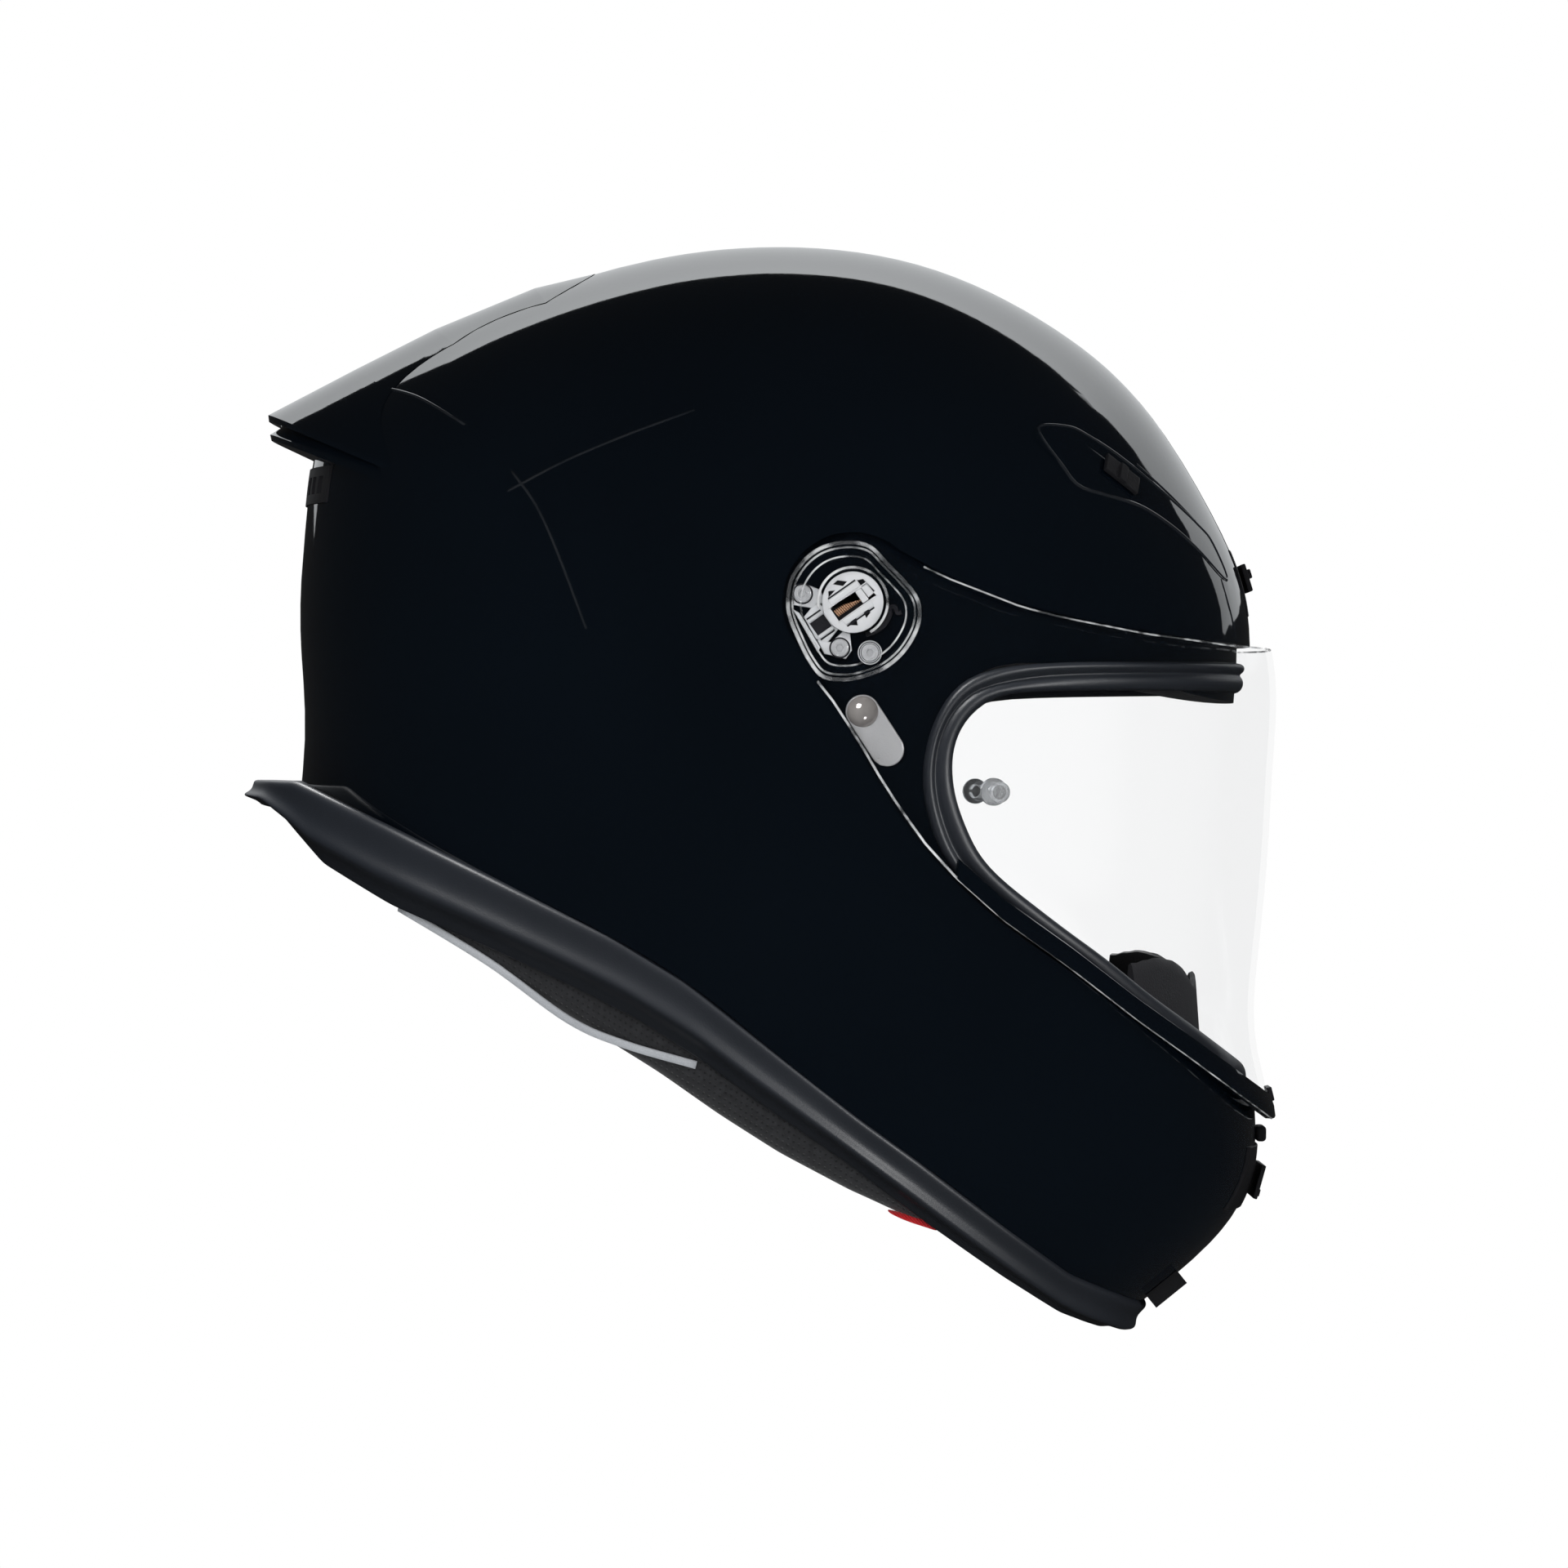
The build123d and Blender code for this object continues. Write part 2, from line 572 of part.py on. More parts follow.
def visor_hub(side):
    """The visor's bearing ring, which turns on the hinge plate's boss."""
    inner = PIVOT_FLOOR + HUB_LIFT
    ring = side_rod(side, *PIVOT, HUB_RADIUS, inner, 130)
    ring = ring - side_rod(side, *PIVOT, BOSS_RADIUS + RUNNING_GAP, PIVOT_FLOOR, 140)
    return largest(ring & form(VISOR_OUTLINE, VISOR_WALL / 4, VISOR_HALF_WIDTH))


def disc(radius, height, lift):
    """A round disc that stands on a plane, lifted off it."""
    return Pos(0, 0, lift) * Cylinder(radius, height, align=(Align.CENTER, Align.CENTER, Align.MIN))


def post_stem(side, radius):
    plane = skin_plane(side, *POST, (1.0, 0.0), VISOR_OUTLINE, VISOR_HALF_WIDTH)
    return plane * disc(radius, 6.6, -6.0)


def anti_fog_post(side):
    """A pin through the visor with a flange on each face, which holds the inner film."""
    plane = skin_plane(side, *POST, (1.0, 0.0), VISOR_OUTLINE, VISOR_HALF_WIDTH)
    flanges = plane * (disc(4.2, 1.6, -5.8) + disc(3.2, 0.9, 0.15))
    return post_stem(side, POST_STEM - 0.05) + flanges


def visor_lift_tab():
    return outline_plane(VISOR_OUTLINE, LIFT_TAB_AT) * standing(4.5, 16, 1.6, 0, 0.02)


def latch_frame(side):
    """A plane on top of a boss: X along the latch's slide, Z outwards."""
    turn = math.radians(LATCH_TURN)
    along = (math.cos(turn), 0, math.sin(turn))
    return Plane(origin=(PIVOT[0], side * BOSS_TOP, PIVOT[1]), x_dir=along, z_dir=(0, side, 0))


def pivot_base(side):
    """The hinge plate: three ears in the shell's pocket and a grooved boss."""
    top = PIVOT_FLOOR + PLATE_THICKNESS
    base = side_rod(side, *PIVOT, PLATE_RADIUS, PIVOT_FLOOR, top)
    for x, z in SCREWS:
        base = base + side_rod(side, x, z, EAR_RADIUS, PIVOT_FLOOR, top)
    base = base & side_rod(side, *PIVOT, POCKET_RADIUS - 0.2, PIVOT_FLOOR, top)
    base = base + side_rod(side, *PIVOT, BOSS_RADIUS, PIVOT_FLOOR, BOSS_TOP)
    for x, z in SCREWS:
        base = base - side_rod(side, x, z, SCREW_SHANK + 0.05, PIVOT_FLOOR - 1, top + 1)
    length, breadth, depth = GROOVE
    return base - latch_frame(side) * standing(length, breadth, depth + 1, 0, -depth)


def pivot_screws(side):
    top = PIVOT_FLOOR + PLATE_THICKNESS
    radius, height = SCREW_HEAD
    screws = []
    for x, z in SCREWS:
        head = side_rod(side, x, z, radius, top, top + height)
        head = head - side_rod(side, x, z, SCREW_SOCKET, top + 0.5, top + 2)
        screws.append(head + side_rod(side, x, z, SCREW_SHANK, PIVOT_FLOOR + 0.2, top + 0.1))
    return screws


def latch_rest():
    """Where the latch's bar rests along the slope, its spring against its back."""
    return GROOVE[0] / 2 - LATCH_TRAVEL - LATCH_BAR[0] / 2 - 0.2


def pivot_latch(side):
    length, breadth, depth = LATCH_BAR
    return latch_frame(side) * standing(length, breadth, depth + LATCH_THUMB, latch_rest(), -2.4)


def latch_spring(side):
    end = latch_rest() - LATCH_BAR[0] / 2
    coil = Cylinder(SPRING_RADIUS, SPRING_LENGTH) - Cylinder(SPRING_RADIUS - SPRING_WALL, SPRING_LENGTH)
    return latch_frame(side) * Pos(end - SPRING_LENGTH / 2, 0, -1.4) * Rot(0, 90, 0) * coil


def stud_plate(side):
    """A capsule-shaped plate on the step below the hinge."""
    inner, outer = 117.0, STUD_PLATE_TOP
    ends = [side_rod(side, *place, STUD_PLATE_RADIUS, inner, outer) for place in (STUD, STUD_PLATE_END)]
    turn = math.degrees(math.atan2(STUD_PLATE_END[1] - STUD[1], STUD_PLATE_END[0] - STUD[0]))
    corners = [
        on_circle(place, STUD_PLATE_RADIUS, turn + lean)
        for place, lean in ((STUD, -90), (STUD_PLATE_END, -90), (STUD_PLATE_END, 90), (STUD, 90))
    ]
    low, high = sorted((side * inner, side * outer))
    plate = ends[0] + ends[1] + side_block(corners, low, high)
    return largest(plate - form(SHELL_OUTLINE, RECESS - 0.05))


def lock_stud(side):
    base = STUD_PLATE_TOP + 0.05
    dome = Pos(STUD[0], side * (base - STUD_SINK), STUD[1]) * Sphere(STUD_RADIUS)
    return dome & half(side, base)


# ---------------------------------------------------------------- retention
def strap_loop(place):
    """The sewn end of the strap round one ring's bar."""
    y, z = place
    tube = Cylinder(STRAP_SLEEVE, STRAP_WIDTH) - Cylinder(RING_WIRE + RING_GAP, STRAP_WIDTH)
    return Pos(STRAP_MIDDLE, y, z) * Rot(0, 90, 0) * tube


def strap_right():
    strap = webbing(STRAP_ROUTE, STRAP_WIDTH, STRAP_THICKNESS)
    strap = strap + webbing([(-53.0, -153.6), (-48.0, -153.6)], STRAP_WIDTH, STRAP_THICKNESS)
    for place in RING_BARS:
        hole = Pos(STRAP_MIDDLE, *place) * Rot(0, 90, 0) * Cylinder(RING_WIRE + RING_GAP, 40.0)
        strap = strap + strap_loop(place) - hole
    return largest(strap)


def strap_left():
    route = [(-y, z) for y, z in STRAP_ROUTE] + STRAP_TAIL
    return webbing(route, STRAP_WIDTH, STRAP_THICKNESS)


def strap_anchors():
    """A rivet head on each strap's upper end."""
    return [side_rod(side, STRAP_MIDDLE, -97.0, 5.0, 77.8, 79.9) for side in (RIGHT, LEFT)]


def d_ring(place):
    """A ring with a straight bar, hanging from its bar."""
    y, z = place
    bow = Rot(90, 0, 0) * Torus(RING_RADIUS, RING_WIRE)
    bow = bow & Pos(0, 0, -RING_RADIUS) * Box(60, 10, 2 * RING_RADIUS)
    bar = Rot(0, 90, 0) * Cylinder(RING_WIRE, 2 * RING_RADIUS)
    ends = [Pos(s * RING_RADIUS, 0, 0) * Sphere(RING_WIRE) for s in (-1, 1)]
    return Pos(STRAP_MIDDLE, y, z) * (bow + bar + ends)


# ---------------------------------------------------------------- write
def save(name, shape):
    """Write one node, a group when it is a list of separate solids."""
    if isinstance(shape, list):
        shape = Compound(children=[largest(piece) for piece in shape])
    export_step(shape, f"parts/{name}.step")


def main():
    os.makedirs("parts", exist_ok=True)
    save("outer_shell", outer_shell())
    for name, moulding in liner_parts(impact_liner()).items():
        save(name, moulding)
    save("crown_liner", crown_liner())
    pad = cheek_pad_right()
    save("cheek_pad_right", pad)
    save("cheek_pad_left", mirrored(pad))
    save("neck_roll", neck_roll())
    save("base_trim", base_trim())
    save("eyeport_gasket", eyeport_gasket())
    save("breath_deflector", breath_deflector())
    save("chin_curtain", chin_curtain())
    save("rear_spoiler", rear_spoiler())
    save("rear_exhaust_grille", rear_exhaust_grille())
    save("centre_vent_frame", centre_vent_frame())
    save("centre_vent_slider", centre_vent_slider())
    save("chin_vent_housing", chin_vent_housing())
    save("chin_vent_slider", chin_vent_slider())
    save("chin_intake", chin_intake())
    save("visor_catch", visor_catch())
    save("visor", visor())
    save("visor_lift_tab", visor_lift_tab())
    save("strap_right", strap_right())
    save("strap_left", strap_left())
    save("strap_anchors", strap_anchors())
    save("d_ring_outer", d_ring(RING_BARS[0]))
    save("d_ring_inner", d_ring(RING_BARS[1]))
    for side, word in ((RIGHT, "right"), (LEFT, "left")):
        save(f"reflective_piping_{word}", reflective_piping(side))
        save(f"pull_tab_{word}", pull_tab(side))
        save(f"brow_vent_frame_{word}", brow_vent_frame(side))
        save(f"brow_slider_{word}", brow_slider(side))
        save(f"anti_fog_post_{word}", anti_fog_post(side))
        save(f"visor_hub_{word}", visor_hub(side))
        save(f"pivot_base_{word}", pivot_base(side))
        save(f"pivot_screws_{word}", pivot_screws(side))
        save(f"pivot_latch_{word}", pivot_latch(side))
        save(f"latch_spring_{word}", latch_spring(side))
        save(f"stud_plate_{word}", stud_plate(side))
        save(f"lock_stud_{word}", lock_stud(side))


main()
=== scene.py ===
import bmesh
import bpy
import json
import math
from mathutils import Matrix, Vector
from mathutils.bvhtree import BVHTree

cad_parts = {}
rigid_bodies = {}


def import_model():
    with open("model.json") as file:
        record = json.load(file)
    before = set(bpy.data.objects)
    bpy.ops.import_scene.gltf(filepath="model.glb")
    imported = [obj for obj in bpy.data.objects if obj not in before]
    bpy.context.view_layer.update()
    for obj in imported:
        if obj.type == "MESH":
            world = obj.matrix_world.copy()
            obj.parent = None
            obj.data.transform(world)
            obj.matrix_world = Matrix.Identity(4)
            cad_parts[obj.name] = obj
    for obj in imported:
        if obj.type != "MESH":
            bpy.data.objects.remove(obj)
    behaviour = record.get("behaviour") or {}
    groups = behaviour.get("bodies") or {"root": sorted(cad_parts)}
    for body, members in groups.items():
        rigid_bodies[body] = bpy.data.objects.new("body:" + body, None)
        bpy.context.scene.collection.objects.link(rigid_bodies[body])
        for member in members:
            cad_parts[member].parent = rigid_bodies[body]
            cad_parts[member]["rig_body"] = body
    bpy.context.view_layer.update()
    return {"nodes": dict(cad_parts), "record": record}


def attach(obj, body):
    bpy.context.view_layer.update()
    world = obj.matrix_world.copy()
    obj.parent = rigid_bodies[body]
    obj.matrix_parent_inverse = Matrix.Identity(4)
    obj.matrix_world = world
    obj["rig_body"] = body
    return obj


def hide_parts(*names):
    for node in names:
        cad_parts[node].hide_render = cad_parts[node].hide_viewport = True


bl_info = {
    "name": "Motorcycle Helmet",
    "version": (1, 0, 0),
    "blender": (4, 5, 0),
    "location": "3D View > Sidebar > Helmet",
    "description": "Builds a full-face motorcycle helmet's visible pieces round its CAD frame",
    "category": "Add Mesh",
}

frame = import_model()
NODES = frame["nodes"]
SIDES = (("right", -1), ("left", 1))
MM = 0.001

# ---------------------------------------------------------------- the helmet's shape
# Millimetres in the frame's axes. The outlines and rim edges repeat the CAD's.
HALF_WIDTH = 126.0
FULLNESS = 2.2
POLE = (5.0, -10.0)
PIVOT = (23.4, 3.0)
BOSS_TOP = 125.0
SHELL_OUTLINE = [
    (150.5, -14.0), (148.5, 9.0), (138.3, 33.8), (117.8, 66.3), (88.7, 92.3),
    (45.0, 112.8), (-5.2, 118.3), (-50.0, 111.8), (-91.0, 98.0), (-119.0, 84.0),
    (-137.0, 71.0), (-146.0, 54.0), (-149.5, 28.0), (-151.0, -3.0), (-149.6, -38.0),
    (-153.0, -78.0), (-146.0, -125.0), (-110.0, -185.0), (-45.0, -232.0), (30.0, -246.0),
    (88.0, -233.0), (123.0, -211.0), (145.0, -189.0), (152.3, -163.0), (149.0, -125.0),
    (147.5, -82.0), (148.5, -40.0),
]
TRIM_OUTLINE = [
    (152.0, -14.0), (150.0, 9.0), (139.5, 34.5), (118.8, 67.3), (89.3, 93.5),
    (45.0, 114.3), (-5.2, 119.8), (-51.0, 113.3), (-92.0, 99.5), (-120.0, 85.0),
    (-138.5, 72.0), (-147.5, 54.0), (-151.0, 28.0), (-154.0, -3.0), (-162.0, -38.0),
    (-165.0, -62.0), (-153.0, -128.0), (-111.5, -187.0), (-45.0, -233.5), (30.0, -247.5),
    (89.0, -234.5), (124.0, -212.5), (146.5, -190.0), (153.8, -163.0), (150.5, -125.0),
    (149.0, -82.0), (150.0, -40.0),
]
TRIM_TOP = [
    (-175.0, -50.0), (-150.0, -51.0), (-119.0, -65.0), (-88.7, -79.5), (-50.0, -98.4),
    (-27.4, -112.0), (-2.6, -131.6), (25.2, -153.7), (43.3, -167.0), (70.0, -188.0),
    (92.0, -205.0), (117.0, -217.0),
]
TRIM_LOW = [
    (-175.0, -57.0), (-158.0, -60.0), (-142.0, -77.0), (-119.5, -89.8), (-87.0, -103.4),
    (-61.9, -114.8), (-42.5, -124.5), (-22.9, -137.0), (-4.8, -150.5), (21.2, -168.6),
    (45.0, -187.0), (70.5, -205.8), (89.0, -218.5), (103.0, -225.0), (117.0, -225.7),
]
ROLL_TOP = [
    (-163.0, -54.0), (-142.0, -73.5), (-119.5, -87.0), (-87.0, -100.6), (-61.9, -112.0),
    (-42.5, -121.7), (-22.9, -134.2), (-4.8, -147.7), (21.2, -165.8), (37.0, -177.8),
    (45.0, -183.8),
]
ROLL_LOW = [
    (-164.0, -58.0), (-142.0, -76.0), (-118.0, -92.5), (-97.0, -107.3), (-77.4, -119.9),
    (-57.0, -132.5), (-37.0, -145.0), (-19.0, -157.6), (0.6, -170.2), (22.0, -181.6),
    (35.0, -187.2), (45.0, -191.4),
]
PIPING = [
    (-118.4, -89.5), (-89.2, -106.5), (-64.4, -124.0), (-47.0, -131.5), (-24.7, -137.8),
]
PORT_INNER = [
    (170.0, -24.0), (78.0, -24.0), (64.5, -28.0), (57.0, -36.5), (54.9, -48.0),
    (58.0, -62.0), (66.0, -77.0), (85.1, -92.2), (103.8, -105.1), (118.6, -116.4),
    (137.3, -129.4), (170.0, -153.0),
]
PORT_OUTER = [
    (172.0, -13.5), (82.3, -15.2), (60.0, -19.5), (49.0, -33.0), (45.3, -52.0),
    (49.4, -71.0), (58.5, -83.5), (69.0, -92.5), (91.1, -108.6), (111.0, -123.6),
    (127.6, -135.4), (142.0, -145.8), (172.0, -168.0),
]


def curve_through(points, steps, closed=False):
    """Points along a smooth curve through the given ones."""
    count = len(points)
    spans = count if closed else count - 1
    found = []
    for i in range(spans):
        if closed:
            a, b, c, d = (Vector(points[(i + k - 1) % count]) for k in range(4))
        else:
            b, c = Vector(points[i]), Vector(points[i + 1])
            a = Vector(points[i - 1]) if i else b * 2 - c
            d = Vector(points[i + 2]) if i + 2 < count else c * 2 - b
        for step in range(steps):
            u = step / steps
            ease = b * 2 + (c - a) * u + (a * 2 - b * 5 + c * 4 - d) * u**2
            found.append((ease + (b * 3 - a - c * 3 + d) * u**3) / 2)
    if not closed:
        found.append(Vector(points[-1]))
    return found


class Egg:
    """A closed form whose side outline shrinks towards the pole near each side."""

    def __init__(self, points, half_width=HALF_WIDTH):
        self.half_width = half_width
        ring = curve_through(points, 8, closed=True)
        polar = [(math.atan2(p.y - POLE[1], p.x - POLE[0]), math.dist(p, POLE)) for p in ring]
        self.polar = sorted(polar)

    def radius(self, angle):
        """The outline's distance from the pole in one direction."""
        polar = self.polar
        low, high = 0, len(polar)
        while low < high:
            middle = (low + high) // 2
            if polar[middle][0] < angle:
                low = middle + 1
            else:
                high = middle
        after = polar[low % len(polar)]
        before = polar[low - 1]
        gap = (after[0] - before[0]) % math.tau
        share = ((angle - before[0]) % math.tau) / gap if gap else 0.0
        return before[1] + share * (after[1] - before[1])

    def level(self, p):
        """Below 1 inside the form, 1 on its skin, more outside."""
        dx, dz = p.x - POLE[0], p.z - POLE[1]
        reach = math.hypot(dx, dz) / self.radius(math.atan2(dz, dx))
        return reach**FULLNESS + abs(p.y / self.half_width) ** FULLNESS

    def outward(self, p):
        """The skin's outward direction near a point."""
        step = 0.5
        slope = [
            self.level(p + Vector(axis) * step) - self.level(p - Vector(axis) * step)
            for axis in ((1, 0, 0), (0, 1, 0), (0, 0, 1))
        ]
        return Vector(slope).normalized()

    def side(self, x, z, side):
        """The skin's point on one side of the helmet at a place in the side view."""
        dx, dz = x - POLE[0], z - POLE[1]
        reach = math.hypot(dx, dz) / self.radius(math.atan2(dz, dx))
        return Vector((x, side * self.half_width * max(0.0, 1 - reach**FULLNESS) ** (1 / FULLNESS), z))

    def reach_along(self, start, towards, limit=400.0):
        """Where a ray from inside meets the skin."""
        low, high = 0.0, limit
        for _ in range(26):
            middle = (low + high) / 2
            if self.level(start + towards * middle) < 1:
                low = middle
            else:
                high = middle
        return start + towards * low


def height_on(edge, x):
    """The height of a rim edge at a place along the helmet."""
    for before, after in zip(edge, edge[1:]):
        if before[0] <= x <= after[0]:
            share = (x - before[0]) / (after[0] - before[0])
            return before[1] + share * (after[1] - before[1])
    return edge[0][1] if x < edge[0][0] else edge[-1][1]


def rim_point(egg, edge, turn, centre_x=-10.0):
    """Where a rim edge crosses the skin in one direction about the upright axis."""
    low, high = 0.0, 260.0
    for _ in range(26):
        middle = (low + high) / 2
        x = centre_x + middle * math.cos(turn)
        p = Vector((x, middle * math.sin(turn), height_on(edge, x)))
        if egg.level(p) < 1:
            low = middle
        else:
            high = middle
    return p


SHELL = Egg(SHELL_OUTLINE)
TRIM = Egg(TRIM_OUTLINE)


def inside(region, x, z):
    """True where a place in the side view lies within a closed outline."""
    odd = False
    for i, here in enumerate(region):
        before = region[i - 1]
        if (here[1] > z) != (before[1] > z):
            cross = (before[0] - here[0]) * (z - here[1]) / (before[1] - here[1]) + here[0]
            odd = odd != (x < cross)
    return odd


def port_point(egg, region, turn, centre=(95.0, -74.0)):
    """Where an eye port's edge crosses the skin, in one direction about the forward axis."""
    low, high = 0.0, 200.0
    for _ in range(22):
        middle = (low + high) / 2
        start = Vector((centre[0] - 60, middle * math.cos(turn), centre[1] + middle * math.sin(turn)))
        p = egg.reach_along(start, Vector((1, 0, 0))) if egg.level(start) < 1 else start
        if egg.level(start) < 1 and inside(region, p.x, p.z):
            low = middle
        else:
            high = middle
    return p


# ---------------------------------------------------------------- mesh helpers
def finish_mesh(name, bm, material, smooth=True):
    """Make an object from a bmesh in millimetres, its normals recalculated."""
    bmesh.ops.remove_doubles(bm, verts=bm.verts, dist=0.02)
    bmesh.ops.recalc_face_normals(bm, faces=bm.faces)
    bmesh.ops.scale(bm, vec=(MM, MM, MM), verts=bm.verts)
    mesh = bpy.data.meshes.new(name)
    bm.to_mesh(mesh)
    bm.free()
    for face in mesh.polygons:
        face.use_smooth = smooth
    piece = bpy.data.objects.new(name, mesh)
    bpy.context.scene.collection.objects.link(piece)
    mesh.materials.append(material)
    return piece


def lofted(rows, closed_rows=False):
    """A grid laid through rows of points: rows run along, each row's points run across."""
    bm = bmesh.new()
    across = len(rows[0])
    bmesh.ops.create_grid(bm, x_segments=len(rows) - 1, y_segments=across - 1, size=1.0)
    bm.verts.ensure_lookup_table()
    order = sorted(bm.verts, key=lambda v: (round(v.co.x, 4), round(v.co.y, 4)))
    for index, vert in enumerate(order):
        vert.co = rows[index // across][index % across]
    if not closed_rows:
        bmesh.ops.remove_doubles(bm, verts=bm.verts, dist=0.02)
        bmesh.ops.holes_fill(bm, edges=[e for e in bm.edges if e.is_boundary], sides=0)
    return bm


def crisp(piece, angle=35.0):
    """Keep an edge sharp where its faces turn by more than an angle."""
    bm = bmesh.new()
    bm.from_mesh(piece.data)
    for edge in bm.edges:
        if edge.is_manifold and edge.calc_face_angle(0.0) > math.radians(angle):
            edge.smooth = False
    bm.to_mesh(piece.data)
    bm.free()


def place(piece, body, slot, *nodes):
    """Attach a piece to what it rides on and hide the CAD nodes it stands for. The slot is not used."""
    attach(piece, body)
    if nodes:
        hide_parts(*nodes)
    return piece


# ---------------------------------------------------------------- shader helpers
class Signal:
    """A socket in a material, so that its maths reads as arithmetic."""

    def __init__(self, finish, socket):
        self.finish = finish
        self.socket = socket

    def maths(self, operation, first, second=0.0, third=0.0):
        sockets = {0: first, 1: second, 2: third}
        return self.finish.add("ShaderNodeMath", {"operation": operation}, sockets)

    def __add__(self, other):
        return self.maths("ADD", self, other)

    __radd__ = __add__

    def __sub__(self, other):
        return self.maths("SUBTRACT", self, other)

    def __rsub__(self, other):
        return self.maths("SUBTRACT", other, self)

    def __mul__(self, other):
        return self.maths("MULTIPLY", self, other)

    __rmul__ = __mul__

    def __truediv__(self, other):
        return self.maths("DIVIDE", self, other)

    def power(self, other):
        return self.maths("POWER", self, other)

    def sine(self):
        return self.maths("SINE", self)

    def wrapped(self, low, high):
        return self.maths("WRAP", self, high, low)

    def greatest(self, other):
        return self.maths("MAXIMUM", self, other)

    def least(self, other):
        return self.maths("MINIMUM", self, other)


class Finish:
    """One material: a principled shader, and the nodes that vary it."""

    def __init__(self, name, **constants):
        self.material = bpy.data.materials.new(name)
        self.material.use_nodes = True
        self.tree = self.material.node_tree
        self.shader = next(n for n in self.tree.nodes if n.type == "BSDF_PRINCIPLED")
        for socket, value in constants.items():
            self.shader.inputs[socket.replace("_", " ")].default_value = value

    def add(self, kind, settings=None, sockets=None, output=0):
        """Any node, its settings made first, then the values or links of its sockets."""
        node = self.tree.nodes.new(kind)
        for key, value in (settings or {}).items():
            if key == "stops":
                ramp = node.color_ramp
                while len(ramp.elements) < len(value):
                    ramp.elements.new(0.5)
                for element, (position, colour) in zip(ramp.elements, value):
                    element.position = position
                    element.color = colour
            else:
                setattr(node, key, value)
        for key, value in (sockets or {}).items():
            if isinstance(value, Signal):
                self.tree.links.new(value.socket, node.inputs[key])
            else:
                node.inputs[key].default_value = value
        return Signal(self, node.outputs[output])

    def place(self):
        """Where the surface point is on the object, in metres."""
        return self.add("ShaderNodeTexCoord", output=3)

    def axes(self, vector):
        """A vector's three numbers."""
        x = self.add("ShaderNodeSeparateXYZ", None, {0: vector})
        node = x.socket.node
        return x, Signal(self, node.outputs[1]), Signal(self, node.outputs[2])

    def noise(self, scale, detail=3.0, rough=0.5, vector=None):
        return self.add(
            "ShaderNodeTexNoise", None,
            {"Vector": vector or self.place(), "Scale": scale, "Detail": detail, "Roughness": rough},
        )

    def cells(self, scale, feature="F1", vector=None, spread=1.0):
        return self.add(
            "ShaderNodeTexVoronoi", {"feature": feature},
            {"Vector": vector or self.place(), "Scale": scale, "Randomness": spread},
        )

    def ranged(self, value, low, high):
        """A 0 to 1 value spread between two limits."""
        return value * (high - low) + low

    def mixed(self, factor, first, second):
        """A colour between two, by a factor."""
        return self.add(
            "ShaderNodeMix", {"data_type": "RGBA"}, {0: factor, 6: first, 7: second}, output=2
        )

    def feed(self, socket, value):
        self.tree.links.new(value.socket, self.shader.inputs[socket])

    def clear_through(self, share, tint):
        """Show the shader by a share, and what lies behind by the rest."""
        clear = self.tree.nodes.new("ShaderNodeBsdfTransparent")
        clear.inputs["Color"].default_value = tint
        mix = self.tree.nodes.new("ShaderNodeMixShader")
        out = next(n for n in self.tree.nodes if n.type == "OUTPUT_MATERIAL")
        self.tree.links.new(share.socket, mix.inputs[0])
        self.tree.links.new(clear.outputs[0], mix.inputs[1])
        self.tree.links.new(self.shader.outputs[0], mix.inputs[2])
        self.tree.links.new(mix.outputs[0], out.inputs["Surface"])

    def relief(self, height, strength, distance):
        """Drive the shader's normal from a height in metres."""
        sockets = {"Height": height, "Strength": strength, "Distance": distance}
        bump = self.add("ShaderNodeBump", None, sockets)
        self.feed("Normal", bump)


def tone(*channels):
    """A colour socket's value: three channels, fully opaque."""
    return (*channels, 1.0)


# ---------------------------------------------------------------- finishes
def lacquer(settings):
    """Deep black gloss lacquer: faint colour depth, polishing haze and orange peel."""
    finish = Finish("black_lacquer", IOR=1.52, Coat_Weight=0.6, Coat_Roughness=0.02, Coat_IOR=1.5)
    mottle = finish.noise(9.0, 2.0)
    deep = (*[channel * 0.55 for channel in settings.lacquer], 1.0)
    finish.feed("Base Color", finish.mixed(mottle, deep, (*settings.lacquer, 1.0)))
    haze = finish.noise(38.0, 6.0, 0.65)
    finish.feed("Roughness", finish.ranged(haze, 0.03, 0.075))
    peel = finish.noise(620.0, 2.0)
    finish.relief(peel, 0.012, 0.0004)
    return finish.material


def crease_lacquer(settings):
    """Lacquer a shade paler than the rest, laid on the crease lines and vent edges as painted
    highlight.
    """
    finish = Finish("crease_lacquer", IOR=1.52, Coat_Weight=0.5, Coat_Roughness=0.05)
    painted_highlight_noise = finish.noise(70.0, 3.0)
    # The paler lacquer is painted highlight, so that the crease lines show as thin light lines.
    pale = tuple(channel + 0.02 for channel in settings.lacquer)
    finish.feed("Base Color", finish.mixed(painted_highlight_noise, (*settings.lacquer, 1.0), (*pale, 1.0)))
    finish.feed("Roughness", finish.ranged(painted_highlight_noise, 0.08, 0.2))
    return finish.material


def satin_rubber(name, colour, low=0.36, high=0.5):
    """Moulded rubber: a fine spark-eroded grain with slightly polished patches."""
    finish = Finish(name, IOR=1.48)
    cloud = finish.noise(24.0, 4.0)
    finish.feed("Base Color", finish.mixed(cloud, tone(*[c * 0.72 for c in colour]), tone(*colour)))
    finish.feed("Roughness", finish.ranged(cloud, low, high))
    grain = finish.noise(2300.0, 2.0) * 0.6 + finish.noise(900.0, 2.0) * 0.4
    finish.relief(grain, 0.16, 0.0004)
    return finish.material


